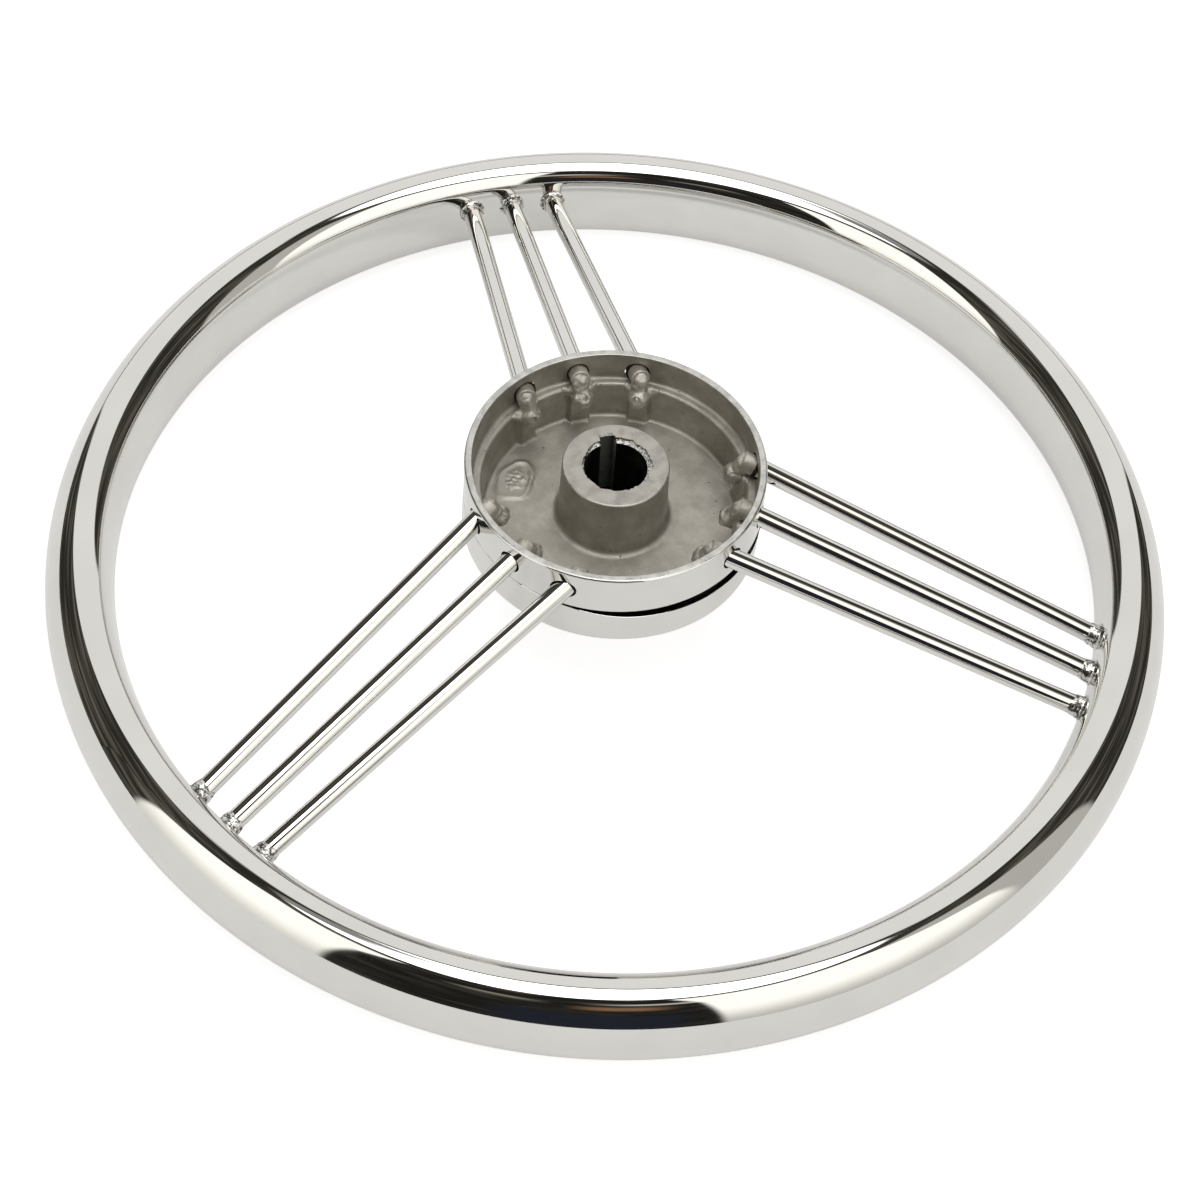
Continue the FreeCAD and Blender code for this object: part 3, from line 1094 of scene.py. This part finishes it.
@dataclass
class HubCasting:
    """Cast cup of the hub, with its boss, pilasters, rod holes and keyed bore."""

    top: float
    radius: float = 45.0
    upper_wall: float = 2.3
    ledge_depth: float = 10.0
    ledge_width: float = 3.1
    floor_depth: float = 23.2
    floor_thickness: float = 3.3
    shoulder_depth: float = 14.0
    wall_draft: float = 0.4
    boss_radius: float = 16.0
    boss_recess: float = 1.4
    boss_draft: float = 0.5
    bore_radius: float = 9.525
    bore_taper: float = 1.0 / 12.0
    bore_chamfer: float = 1.2
    keyway_angle: float = 90.0
    keyway_half: float = 2.4
    keyway_reach: float = 12.5
    pilaster_half: float = 3.1
    pilaster_proud: float = 1.8
    pilaster_edge: float = 0.8
    pilaster_start: float = 6.0
    pilaster_angle: float = 12.0
    pilaster_top_gap: float = 0.6
    pilaster_slope: float = 1.0
    wall_foot: float = 1.3
    floor_start: float = 30.0
    swelling: Swelling = Swelling()
    swelling_start: float = 3.0
    floor_band: float = 0.4
    cover_gap: float = 2.0
    seal_depth: float = 19.5
    groove_depth: float = 1.4
    groove_half: float = 1.1
    edge_round: float = 0.7
    lip_round: float = 0.25
    ledge_round: float = 1.0
    floor_round: float = 1.2
    boss_root: float = 2.0
    boss_round: float = 0.5
    spigot_bevel: float = 0.8
    hole_radius: float = 3.55
    hole_steps: int = 48
    drill_past: float = 0.35
    drill_end: float = 6.0
    lip_start: float = 0.1
    lip_skin: float = 0.05
    burr_angle: float = 35.0
    burr_shift: float = 0.4
    burr_spread: float = 1.1
    burr_least: float = 0.08
    burr_plain: float = 0.28
    burr_growth: float = 0.75
    burr_lift: float = 0.10
    burr_length: float = 0.7
    burr_layer: float = 4.0
    chip_radius: float = 9.0
    coarse_chip: float = 0.45
    coarse_length: float = 3.0
    coarse_layer: float = 0.0
    fine_chip: float = 0.30
    fine_length: float = 0.9
    fine_layer: float = 9.0
    boss_margin: float = 1.0
    station_shift: float = 0.1
    cast_wave: float = 0.03
    cast_length: float = 2.5
    arc_step: float = 18.0
    ring_steps: int = 540
    crease: float = 38.0

    def corners(self) -> list[Corner]:
        """Corners of the casting's half section, from the shoulder over the wall to the spigot.

        Returns:
            The corners in order.
        """
        upper = self.radius - self.upper_wall
        lower = upper - self.ledge_width
        ledge = self.top - self.ledge_depth
        floor = self.top - self.floor_depth
        bottom = floor - self.floor_thickness
        boss_top = self.top - self.boss_recess
        shoulder = self.top - self.shoulder_depth
        bore_end = self.bore_radius - (boss_top - bottom) * self.bore_taper / 2.0
        chamfer_end = self.bore_radius - self.bore_chamfer * self.bore_taper / 2.0
        spigot = self.radius - self.cover_gap
        groove = self.top - self.seal_depth
        zone = HubZone
        return [
            Corner(self.radius, shoulder, 0.0, zone.OUTSIDE),
            Corner(self.radius, self.top, self.edge_round, zone.BACK_EDGE, 0.6),
            Corner(upper, self.top, self.lip_round, zone.INSIDE, 1.2),
            Corner(upper, ledge, self.ledge_round, zone.INSIDE, 0.8),
            Corner(lower, ledge, self.ledge_round, zone.INSIDE, 0.8),
            Corner(lower - self.wall_draft, floor, self.floor_round, zone.INSIDE, 0.5),
            Corner(self.boss_radius + self.boss_draft, floor, self.boss_root, zone.INSIDE, 2.0),
            Corner(self.boss_radius, boss_top, self.boss_round, zone.BOSS_TOP, 0.8),
            Corner(self.bore_radius + self.bore_chamfer, boss_top, 0.0, zone.CHAMFER, 0.5),
            Corner(chamfer_end, boss_top - self.bore_chamfer, 0.0, zone.BORE, 6.0),
            Corner(bore_end, bottom, 0.0, zone.UNDERSIDE, 8.0),
            Corner(spigot - self.spigot_bevel, bottom, 0.0, zone.UNDERSIDE),
            Corner(spigot, bottom + self.spigot_bevel, 0.0, zone.SPIGOT),
            Corner(spigot, groove - self.groove_half, 0.0, zone.SPIGOT),
            Corner(spigot - self.groove_depth, groove - self.groove_half, 0.0, zone.SPIGOT),
            Corner(spigot - self.groove_depth, groove + self.groove_half, 0.0, zone.SPIGOT),
            Corner(spigot, groove + self.groove_half, 0.0, zone.SPIGOT),
            Corner(spigot, shoulder, 0.0, zone.SPIGOT),
        ]

    def keyway_outline(self, angle: float) -> float:
        """Distance from the axis to the keyway's wall.

        Args:
            angle: angle about the axis in degrees.

        Returns:
            The distance in millimetres, or 0 beside the keyway.
        """
        gap = math.radians(angle_gap(angle, self.keyway_angle))
        if abs(gap) > math.pi / 4.0:
            return 0.0
        side = self.keyway_half / max(abs(math.sin(gap)), 1e-6)
        return min(side, self.keyway_reach / math.cos(gap))

    def lip_share(self, angle: float) -> float:
        """How far the bore's chamfer is chipped open.

        Args:
            angle: angle about the axis in degrees.

        Returns:
            The width of the opening, as a share of the chamfer's.
        """
        towards = math.cos(math.radians(angle - self.burr_angle))
        side = smooth_step((towards + self.burr_shift) / self.burr_spread)
        coarse_place = polar(self.chip_radius, angle, self.coarse_layer)
        fine_place = polar(self.chip_radius, angle, self.fine_layer)
        coarse = self.coarse_chip * noise.noise(coarse_place / self.coarse_length)
        fine = self.fine_chip * noise.noise(fine_place / self.fine_length)
        return max(self.burr_least, self.burr_plain + self.burr_growth * side + (coarse + fine))

    def beside_pilaster(self, radius: float, height: float, gap: float) -> float:
        """Radius of a point of the lower wall or the floor, once a pilaster has pushed it inwards.

        Args:
            radius: radius of the point before.
            height: its height.
            gap: its angle from the pilaster's middle in degrees.

        Returns:
            The radius in millimetres.
        """
        if abs(gap) > self.pilaster_angle:
            return radius
        floor = self.top - self.floor_depth
        ledge = self.top - self.ledge_depth
        face = self.radius - self.upper_wall - self.ledge_width - self.wall_draft - self.pilaster_proud
        wall = face + self.pilaster_proud
        side = abs(math.sin(math.radians(gap))) * face
        across = smooth_step((self.pilaster_half + self.pilaster_edge / 2.0 - side) / self.pilaster_edge)
        flat = face / math.cos(math.radians(gap))
        if radius > wall - self.wall_foot:
            upright = smooth_step((ledge - self.pilaster_top_gap - height) / self.pilaster_slope)
            shift = (flat - wall) if height < floor + self.wall_foot else (flat - radius)
            return radius + shift * across * upright
        share = smooth_step((radius - self.floor_start) / (wall - self.wall_foot - self.floor_start))
        return radius + (flat - wall) * across * share

    def shaped(self, radius: float, height: float, zone: int, angle: float,
               pads: Sequence[float]) -> Vector:
        """Point of the casting's surface, with what isn't turned worked in.

        Args:
            radius: radius of the profile's sample.
            height: height of the sample.
            zone: finish of the sample.
            angle: angle about the wheel's axis.
            pads: angles of the pilasters.

        Returns:
            The point in millimetres.
        """
        floor = self.top - self.floor_depth
        ledge = self.top - self.ledge_depth
        in_bore = zone in (HubZone.BORE, HubZone.CHAMFER, HubZone.UNDERSIDE)
        if zone == HubZone.CHAMFER and radius > self.bore_radius + self.lip_start:
            radius = self.bore_radius + self.lip_skin + self.bore_chamfer * self.lip_share(angle)
            place = polar(self.chip_radius, angle, self.burr_layer)
            height -= self.burr_lift * max(noise.noise(place / self.burr_length), 0.0)
        if in_bore and radius < self.boss_radius - self.boss_margin:
            radius = max(radius, self.keyway_outline(angle))
        if zone == HubZone.INSIDE and radius > self.boss_radius + self.pilaster_start and height < ledge:
            for pad in pads:
                radius = self.beside_pilaster(radius, height, angle_gap(angle, pad))
        on_floor = abs(height - floor) < self.floor_band
        if zone == HubZone.INSIDE and on_floor and radius > self.boss_radius + self.swelling_start:
            height += self.swelling.rise(radius, angle)
        if zone in (HubZone.INSIDE, HubZone.UNDERSIDE):
            height += self.cast_wave * noise.noise(polar(radius, angle, height) / self.cast_length)
        return polar(radius, angle, height)

    def build(self, axes: Iterable[Axis], reach: float, finishes: Finishes) -> None:
        """Build and dress the casting.

        Args:
            axes: centre lines of the rods.
            reach: how far a rod runs past the wall into the cup.
            finishes: the shared materials.
        """
        lines = list(axes)
        ends = [axis.at_hub - axis.direction * reach for axis in lines]
        pads = [math.degrees(math.atan2(end.y, end.x)) for end in ends]
        profile = turned_profile(self.corners(), self.arc_step)
        angles = {360.0 * step / self.ring_steps for step in range(self.ring_steps)}
        corner = math.degrees(math.atan2(self.keyway_half, self.keyway_reach))
        mouth = math.degrees(math.asin(self.keyway_half / self.bore_radius))
        for gap in (corner, mouth):
            angles.update((self.keyway_angle - gap, self.keyway_angle + gap))
        stations = sorted(angles)
        rows = [[self.shaped(radius, height, zone, angle, pads) for radius, height, zone in profile]
                for angle in stations]

        def zone_of(row: int, column: int) -> int:
            """Finish of a face, with the keyway's walls set apart from the bore.

            Args:
                row: number of the face's station round the axis.
                column: number of its sample of the profile.

            Returns:
                The finish as a hub zone that has a material.
            """
            zone = profile[column][2]
            if zone == HubZone.UNDERSIDE:
                return HubZone.INSIDE
            in_keyway = abs(angle_gap(stations[row] + self.station_shift, self.keyway_angle)) < mouth
            return HubZone.KEYWAY if zone == HubZone.BORE and in_keyway else zone

        draft = Draft("hub_cup")
        draft.add_loft(rows, closed_rows=True, zone_of=zone_of)
        materials = [finishes.sheet, finishes.filed_edge, finishes.blasted, finishes.turned,
                     finishes.burred, finishes.bore_shade, finishes.spigot, finishes.keyway_shade]
        cup = draft.make(materials, crease=self.crease)
        self.drill(cup, lines, reach, finishes)
        stand_for(cup, "hub_casting", Slot.CASTING)

    def drill(self, cup: bpy.types.Object, axes: Sequence[Axis], reach: float, finishes: Finishes) -> None:
        """Cut the rods' holes through the cup's wall.

        Args:
            cup: the casting.
            axes: centre lines of the rods.
            reach: how far a rod runs past the wall into the cup.
            finishes: the shared materials.
        """
        cutter = Draft("hub_drills")
        turns = [2.0 * math.pi * step / self.hole_steps for step in range(self.hole_steps)]
        for axis in axes:
            side, up = frame_about(axis.direction)
            rows = []
            for distance in (-reach - self.drill_past, self.drill_end):
                centre = axis.at_hub + axis.direction * distance
                rows.append([centre + side * (self.hole_radius * math.cos(turn))
                             + up * (self.hole_radius * math.sin(turn)) for turn in turns])
            cutter.add_loft(rows, closed_rows=False, closed_ends=True)
        # The holes' walls take the near black painted shade of the gap round each rod.
        drills = cutter.make([finishes.hole_shade])
        cut = cup.modifiers.new("holes", "BOOLEAN")
        cut.operation = "DIFFERENCE"
        cut.solver = "EXACT"
        cut.material_mode = "TRANSFER"
        cut.object = drills
        apply_modifiers(cup)
        bpy.data.objects.remove(drills)
        mend_normals(cup, self.crease)


@dataclass
class HubWelds:
    """Blasted weld beads that tie the rods' ends to the ledge inside the cup."""

    hub: HubCasting
    reach: float
    blob_radius: float = 3.35
    blob_drop: float = 6.0
    blob_inward: float = 2.1
    stub_radius: float = 2.75
    stub_steps: int = 6
    stub_taper: float = 0.09
    stub_pitch: float = 0.5
    root_drop: float = 0.5
    root_forward: float = 0.9
    wing: tuple[Span, ...] = ((1.8, 1.9), (2.9, 1.6), (3.9, 1.25), (4.8, 0.9))
    wing_swell: tuple[Span, ...] = ((1.1, 0.8), (1.0, 1.0), (0.75, 1.35))
    wing_start: Span = (0.1, -1.5)
    wing_climb: Span = (0.15, 0.3)
    wing_change: float = 0.25
    wing_length: float = 1.7
    ball_rounds: int = 3
    voxel: float = 0.26
    soften_share: float = 0.5
    soften_rounds: int = 6
    lump: float = 0.5
    lump_size: float = 2.0
    lump_seed: tuple[float, float, float] = (17.0, 3.0, 5.0)
    fine_lump_share: float = 0.3
    fine_lump_size: float = 0.8
    crater_lift: float = 0.35
    crater_seed_scale: float = 1.7
    crater_radius: float = 1.1
    crater_depth: float = 0.55
    crater_rim_share: float = 0.3
    crater_rim_place: float = 1.5
    crater_rim_width: float = 0.5
    crease: float = 70.0

    def build(self, axes: Iterable[Axis], finishes: Finishes) -> None:
        """Build and dress the beads.

        Args:
            axes: centre lines of the rods.
            finishes: the shared materials.
        """
        for number, axis in enumerate(axes):
            self.build_bead(number, axis, finishes)

    def build_bead(self, number: int, axis: Axis, finishes: Finishes) -> None:
        """Build one bead out of balls that are melted together.

        Args:
            number: the bead's number, which gives it lumps of its own.
            axis: the rod's centre line.
            finishes: the shared materials.
        """
        end = axis.at_hub - axis.direction * self.reach
        angle = math.degrees(math.atan2(end.y, end.x))
        radius = math.hypot(end.x, end.y)
        lip = self.hub.radius - self.hub.upper_wall - self.hub.ledge_width
        ledge = self.hub.top - self.hub.ledge_depth
        blob = polar(radius - self.blob_inward, angle, end.z - self.blob_drop)
        root = end - Vector((0.0, 0.0, self.root_drop)) + axis.direction * self.root_forward
        balls = [(blob, self.blob_radius)]
        for step in range(self.stub_steps):
            thinner = self.stub_radius - self.stub_taper * step
            balls.append((root.lerp(blob, step / self.stub_steps), thinner))
            balls.append((root + axis.direction * (self.stub_pitch * step), self.stub_radius))
        for side, swell in zip((1.0, -1.0), self.wing_swell[number % len(self.wing_swell)]):
            for step, (spread, size) in enumerate(self.wing):
                turn = angle + side * math.degrees(spread / lip)
                wing = polar(lip + self.wing_start[0] + self.wing_climb[0] * step, turn,
                             ledge + self.wing_start[1] + self.wing_climb[1] * step)
                change = 1.0 + self.wing_change * noise.noise(wing / self.wing_length)
                balls.append((wing, size * swell * change))
        piece = self.melted(f"hub_bead_{axis.name}", balls)
        spacing, *rest = self.lump_seed
        seed = Vector((spacing * number, *rest))
        slant = Vector((noise.noise(seed), noise.noise(seed * self.crater_seed_scale), 0.0))
        inward = (polar(-1.0, angle, self.crater_lift) + slant).normalized()
        self.roughen(piece, blob + inward * self.blob_radius, seed)
        piece.data.materials.clear()
        piece.data.materials.append(finishes.blasted_weld)
        mend_normals(piece, self.crease)
        stand_for(piece, f"hub_weld_{axis.name}", Slot.WELD)

    def melted(self, name: str, balls: Iterable[tuple[Vector, float]]) -> bpy.types.Object:
        """Melt balls together into one smooth skin.

        Args:
            name: the object's name.
            balls: centre and radius of each ball in millimetres.

        Returns:
            The new object.
        """
        work = bmesh.new()
        for centre, size in balls:
            bmesh.ops.create_icosphere(work, subdivisions=self.ball_rounds, radius=size * MM,
                                       matrix=Matrix.Translation(centre * MM))
        mesh = bpy.data.meshes.new(name)
        work.to_mesh(mesh)
        work.free()
        piece = bpy.data.objects.new(name, mesh)
        bpy.context.scene.collection.objects.link(piece)
        remesh = piece.modifiers.new("melt", "REMESH")
        remesh.mode = "VOXEL"
        remesh.voxel_size = self.voxel * MM
        soften = piece.modifiers.new("soften", "SMOOTH")
        soften.factor = self.soften_share
        soften.iterations = self.soften_rounds
        apply_modifiers(piece)
        return piece

    def roughen(self, piece: bpy.types.Object, crater: Vector, seed: Vector) -> None:
        """Give a bead's skin its lumps and the crater where the weld was ended.

        Args:
            piece: the bead.
            crater: middle of the crater in millimetres.
            seed: shift of the lumps, which makes each bead's own.
        """
        for vertex in piece.data.vertices:
            at = vertex.co / MM
            fine = noise.noise(at / self.fine_lump_size + seed) * self.lump * self.fine_lump_share
            swell = noise.noise(at / self.lump_size + seed) * self.lump
            swell += fine
            from_crater = (at - crater).length / self.crater_radius
            swell -= self.crater_depth * math.exp(-from_crater ** 2)
            from_rim = (from_crater - self.crater_rim_place) / self.crater_rim_width
            swell += self.crater_rim_share * self.crater_depth * math.exp(-from_rim ** 2)
            vertex.co = (at + vertex.normal * swell) * MM


@dataclass
class HubCover:
    """Pressed cap over the hub's front, sitting a little askew."""

    hub: HubCasting
    sheet: float = 1.2
    depth: float = 14.0
    crown: float = 8.0
    edge_round: float = 3.5
    seat_gap: float = 0.1
    lip_bevel: float = 0.12
    sag: float = 1.4
    sag_start: float = -130.0
    sag_rise: float = 35.0
    sag_end: float = 0.0
    sag_fall: float = 45.0
    sag_reach: float = 3.0
    tilt: float = 2.4
    tilt_angle: float = 193.0
    ring_steps: int = 540
    round_steps: int = 12
    dome_rings: int = 22
    crease: float = 40.0

    def side(self, radius: float, face: float, edge: float, top: float) -> Section:
        """One side of the sheet, from its free edge down the skirt and over the dome.

        Args:
            radius: radius of the skirt.
            face: height of the dome's edge.
            edge: rounding between skirt and dome.
            top: height of the free edge.

        Returns:
            Radius and height of each sample.
        """
        flat = radius - edge
        slope = 2.0 * math.atan(self.crown / (self.hub.radius - self.edge_round))
        samples = [(radius, top), (radius, (top + face + edge) / 2.0)]
        for step in range(self.round_steps + 1):
            turn = (math.pi / 2.0 - slope) * step / self.round_steps
            samples.append((flat + edge * math.cos(turn), face + edge - edge * math.sin(turn)))
        end_radius, end_height = samples[-1]
        dome = end_radius / math.sin(slope)
        centre = end_height + dome * math.cos(slope)
        for ring in range(1, self.dome_rings):
            turn = slope * (1.0 - ring / self.dome_rings)
            samples.append((dome * math.sin(turn), centre - dome * math.cos(turn)))
        return samples

    def sagging(self, angle: float) -> float:
        """How much lower the cover's free edge is at an angle, where it has been pressed down."""
        rise = smooth_step(angle_gap(angle, self.sag_start) / self.sag_rise)
        return self.sag * rise * (1.0 - smooth_step(angle_gap(angle, self.sag_end) / self.sag_fall))

    def build(self, finishes: Finishes) -> None:
        """Build and dress the cover.

        Args:
            finishes: the shared materials.
        """
        top = self.hub.top - self.hub.shoulder_depth - self.seat_gap
        face = top - self.depth
        bevel = self.lip_bevel
        within = self.hub.radius - self.sheet
        outer = self.side(self.hub.radius, face, self.edge_round, top - bevel)
        inner = self.side(within, face + self.sheet, self.edge_round - self.sheet, top - bevel)
        lip = [(within + bevel, top), (self.hub.radius - bevel, top)]
        profile = list(reversed(inner)) + lip + outer
        # The sheet's inside and its lip's top face take the slit's near black painted shade.
        shadowed = range(len(inner) + 1)
        pivot = polar(self.hub.radius, self.tilt_angle, self.hub.top - self.hub.shoulder_depth)
        hinge = polar(1.0, self.tilt_angle + 90.0, 0.0)
        tip = Matrix.Rotation(math.radians(-self.tilt), 4, hinge)
        angles = [360.0 * step / self.ring_steps for step in range(self.ring_steps)]
        rows = []
        for radius, height in profile:
            share = max(0.0, 1.0 - (top - height) / self.sag_reach)
            row = [polar(radius, angle, height - share * self.sagging(angle)) for angle in angles]
            rows.append([pivot + tip @ (point - pivot) for point in row])
        draft = Draft("cover_cap")
        draft.add_loft(rows, closed_rows=False, zone_of=lambda row, _: int(row in shadowed),
                       closed_ends=True)
        piece = draft.make([finishes.sheet, finishes.spigot], crease=self.crease)
        stand_for(piece, "hub_cover", Slot.PRESSED_SHEET)


@dataclass
class SealRing:
    """Hidden seal ring, kept as the frame's own solid."""

    node: str = "cover_seal_ring"

    def build(self, frame: dict, finishes: Finishes) -> None:
        """Dress the ring.

        Args:
            finishes: the shared materials.
        """
        piece = frame["nodes"][self.node]
        piece.data.materials.clear()
        piece.data.materials.append(finishes.rubber)
        LOG.info("%s keeps its solid", self.node)


# Studio and camera


@dataclass(frozen=True)
class Card:
    """Patch of the studio round the wheel, bounded in azimuth and elevation.

    Its colour fades to the share foot at its lower edge, and it hides the share cover of the room.
    """

    azimuth: Span
    elevation: Span
    colour: Colour
    soft: Span = (2.0, 2.0)
    cover: float = 1.0
    foot: float = 1.0


@dataclass
class Studio:
    """White table, dark room and soft boxes, as a polished rim mirrors them."""

    turn: float = PHOTO_TURN
    room: Colour = (0.030, 0.028, 0.024)
    streak: Colour = (0.17, 0.155, 0.13)
    streak_span: Span = (0.42, 0.72)
    streak_scale: Span = (0.05, 0.16)
    table_half: float = 3000.0
    table_colour: Colour = (0.55, 0.55, 0.545)
    camera_glow: float = 0.75
    mirror_glow: float = 0.37
    foot_rise: float = 34.0
    full_circle: float = 359.0
    cards: tuple[Card, ...] = (
        Card((-131.0, -66.0), (-3.0, 64.0), (0.010, 0.010, 0.009), cover=0.75),
        Card((-103.0, -72.0), (-3.0, 27.0), (0.019, 0.022, 0.034), soft=(8.0, 6.0), cover=0.9),
        Card((-88.0, -74.0), (36.0, 42.0), (0.34, 0.19, 0.11), soft=(9.0, 5.0), cover=0.8),
        Card((-82.0, -62.0), (46.0, 51.0), (0.75, 0.74, 0.70), soft=(14.0, 4.0), cover=0.8),
        Card((-112.0, -98.0), (43.0, 47.0), (0.45, 0.42, 0.34), soft=(10.0, 4.0), cover=0.6),
        Card((-21.0, 4.0), (-4.0, 62.0), (0.55, 0.54, 0.51)),
        Card((50.0, 132.0), (3.0, 65.0), (0.93, 0.93, 0.91)),
        Card((-170.0, -131.0), (-2.0, 62.0), (1.45, 1.43, 1.36), foot=0.60),
        Card((-66.0, -14.0), (-2.0, 64.0), (1.45, 1.43, 1.36), foot=0.45),
    )
    overhead: Card = Card((-180.0, 180.0), (69.0, 95.0), (3.5, 3.5, 3.47))
    overhead_gap: Card = Card((112.0, 170.0), (63.0, 77.0), (0.030, 0.028, 0.023), soft=(14.0, 4.0),
                              cover=0.92)

    def build(self) -> None:
        """Build the table and the world."""
        self.build_table()
        self.build_world()

    def build_table(self) -> None:
        """Build the white table, which glows for the camera and for mirrors and keeps shadows."""
        half = self.table_half * MM
        mesh = bpy.data.meshes.new("table")
        mesh.from_pydata([(-half, -half, 0.0), (half, -half, 0.0), (half, half, 0.0), (-half, half, 0.0)],
                         [], [(0, 1, 2, 3)])
        table = bpy.data.objects.new("table", mesh)
        bpy.context.scene.collection.objects.link(table)
        material, graph = new_material("white_table")
        paint = graph.add("ShaderNodeBsdfDiffuse", Color=self.table_colour)
        path = graph.add("ShaderNodeLightPath")
        lit = paint.outputs[0]
        for ray, strength in (("Is Camera Ray", self.camera_glow), ("Is Glossy Ray", self.mirror_glow)):
            glow = graph.add("ShaderNodeEmission", Strength=strength)
            both = graph.add("ShaderNodeAddShader")
            graph.put(both, 0, paint.outputs[0])
            graph.put(both, 1, glow.outputs[0])
            choice = graph.add("ShaderNodeMixShader")
            graph.put(choice, 0, path.outputs[ray])
            graph.put(choice, 1, lit)
            graph.put(choice, 2, both.outputs[0])
            lit = choice.outputs[0]
        output = graph.add("ShaderNodeOutputMaterial")
        graph.put(output, "Surface", lit)
        mesh.materials.append(material)

    def card_mask(self, graph: Graph, card: Card, azimuth: object,
                  elevation: object) -> bpy.types.NodeSocket:
        """Output that is 1 inside a card and falls off softly at its edges.

        Args:
            graph: the world's graph.
            card: the card.
            azimuth: output with the direction's azimuth in degrees.
            elevation: output with its elevation in degrees.

        Returns:
            The mask's output.
        """
        bounded = [(elevation, card.elevation, card.soft[1] / 2)]
        if card.azimuth[1] - card.azimuth[0] < self.full_circle:
            bounded.append((azimuth, card.azimuth, card.soft[0] / 2))
        parts = []
        for measure, (low, high), fade in bounded:
            parts.append(graph.ramp(measure, low - fade, low + fade))
            parts.append(graph.ramp(measure, high - fade, high + fade, 1.0, 0.0))
        mask = parts[0]
        for part in parts[1:]:
            mask = graph.math("MULTIPLY", mask, part)
        return graph.math("MULTIPLY", mask, card.cover)

    def build_world(self) -> None:
        """Build the room that the world shows to lights and mirrors."""
        world = bpy.data.worlds.new("studio")
        world.use_nodes = True
        bpy.context.scene.world = world
        graph = Graph(world.node_tree)
        turned = graph.add("ShaderNodeMapping", Rotation=(0.0, 0.0, math.radians(-self.turn)))
        graph.put(turned, "Vector", graph.add("ShaderNodeTexCoord").outputs["Generated"])
        parts = graph.add("ShaderNodeSeparateXYZ")
        graph.put(parts, 0, turned.outputs[0])
        degrees = 180.0 / math.pi
        azimuth = graph.math("MULTIPLY", graph.math("ARCTAN2", parts.outputs[1], parts.outputs[0]), degrees)
        elevation = graph.math("MULTIPLY", graph.math("ARCSINE", parts.outputs[2]), degrees)
        streak_place = graph.add("ShaderNodeCombineXYZ")
        graph.put(streak_place, 0, graph.math("MULTIPLY", azimuth, self.streak_scale[0]))
        graph.put(streak_place, 1, graph.math("MULTIPLY", elevation, self.streak_scale[1]))
        streaks = graph.add("ShaderNodeTexNoise", Scale=1.0, Detail=4.0, Roughness=0.6)
        graph.put(streaks, "Vector", streak_place.outputs[0])
        colour = graph.mix(graph.ramp(streaks.outputs[0], *self.streak_span), self.room, self.streak)
        for card in (*self.cards, self.overhead, self.overhead_gap):
            lit = card.colour
            if card.foot < 1.0:
                low = tuple(card.foot * share for share in card.colour)
                start = card.elevation[0]
                lit = graph.mix(graph.ramp(elevation, start, start + self.foot_rise), low, lit)
            colour = graph.mix(self.card_mask(graph, card, azimuth, elevation), colour, lit)
        path = graph.add("ShaderNodeLightPath")
        shown = graph.mix(path.outputs["Is Camera Ray"], colour, (1.0, 1.0, 1.0))
        background = graph.add("ShaderNodeBackground", Strength=1.0)
        graph.put(background, "Color", shown)
        output = graph.add("ShaderNodeOutputWorld")
        graph.put(output, "Surface", background.outputs[0])


@dataclass
class ViewCamera:
    """Camera at the photograph's viewing angle."""

    aim: tuple[float, float, float] = (-1.53, -51.83, 60.6)
    azimuth: float = PHOTO_TURN
    elevation: float = 52.43
    roll: float = 4.55
    distance: float = 800.0
    lens: float = 84.4
    sensor: float = 36.0
    clip: Span = (0.01, 50.0)

    def build(self) -> None:
        """Place the camera and make it the scene's own."""
        turn, rise = math.radians(self.azimuth), math.radians(self.elevation)
        back = Vector((math.sin(turn) * math.cos(rise), -math.cos(turn) * math.cos(rise), math.sin(rise)))
        right = Vector((math.cos(turn), math.sin(turn), 0.0))
        up = back.cross(right)
        lean = math.radians(self.roll)
        across = right * math.cos(lean) + up * math.sin(lean)
        above = up * math.cos(lean) - right * math.sin(lean)
        camera = bpy.data.cameras.new("photo_camera")
        camera.lens = self.lens
        camera.sensor_width = self.sensor
        camera.clip_start, camera.clip_end = self.clip
        holder = bpy.data.objects.new("photo_camera", camera)
        bpy.context.scene.collection.objects.link(holder)
        pose = Matrix((across, above, back)).transposed().to_4x4()
        aim = Matrix.Rotation(turn, 3, "Z") @ Vector(self.aim)
        pose.translation = (aim + back * self.distance) * MM
        holder.matrix_world = pose
        bpy.context.scene.camera = holder


# Assembly of the scene


def main() -> None:
    """Build every piece, the studio and the camera."""
    logging.basicConfig(level=logging.INFO, format="%(name)s %(message)s")
    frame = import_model()
    bpy.context.scene.view_settings.view_transform = "Standard"
    finishes = Finishes()
    rim = Rim()
    dish = 45.4
    hub_top = rim.half_height + dish
    layout = SpokeLayout()
    rods = SpokeRods(layout, rim, hub_top)
    hub = HubCasting(hub_top)
    axes = layout.axes(rim, hub_top)
    rim.build(finishes)
    rods.build(finishes)
    hub.build(axes, rods.inner_reach, finishes)
    HubWelds(hub, rods.inner_reach).build(axes, finishes)
    HubCover(hub).build(finishes)
    SealRing().build(frame, finishes)
    Studio().build()
    ViewCamera().build()


if __name__ == "__main__":
    main()
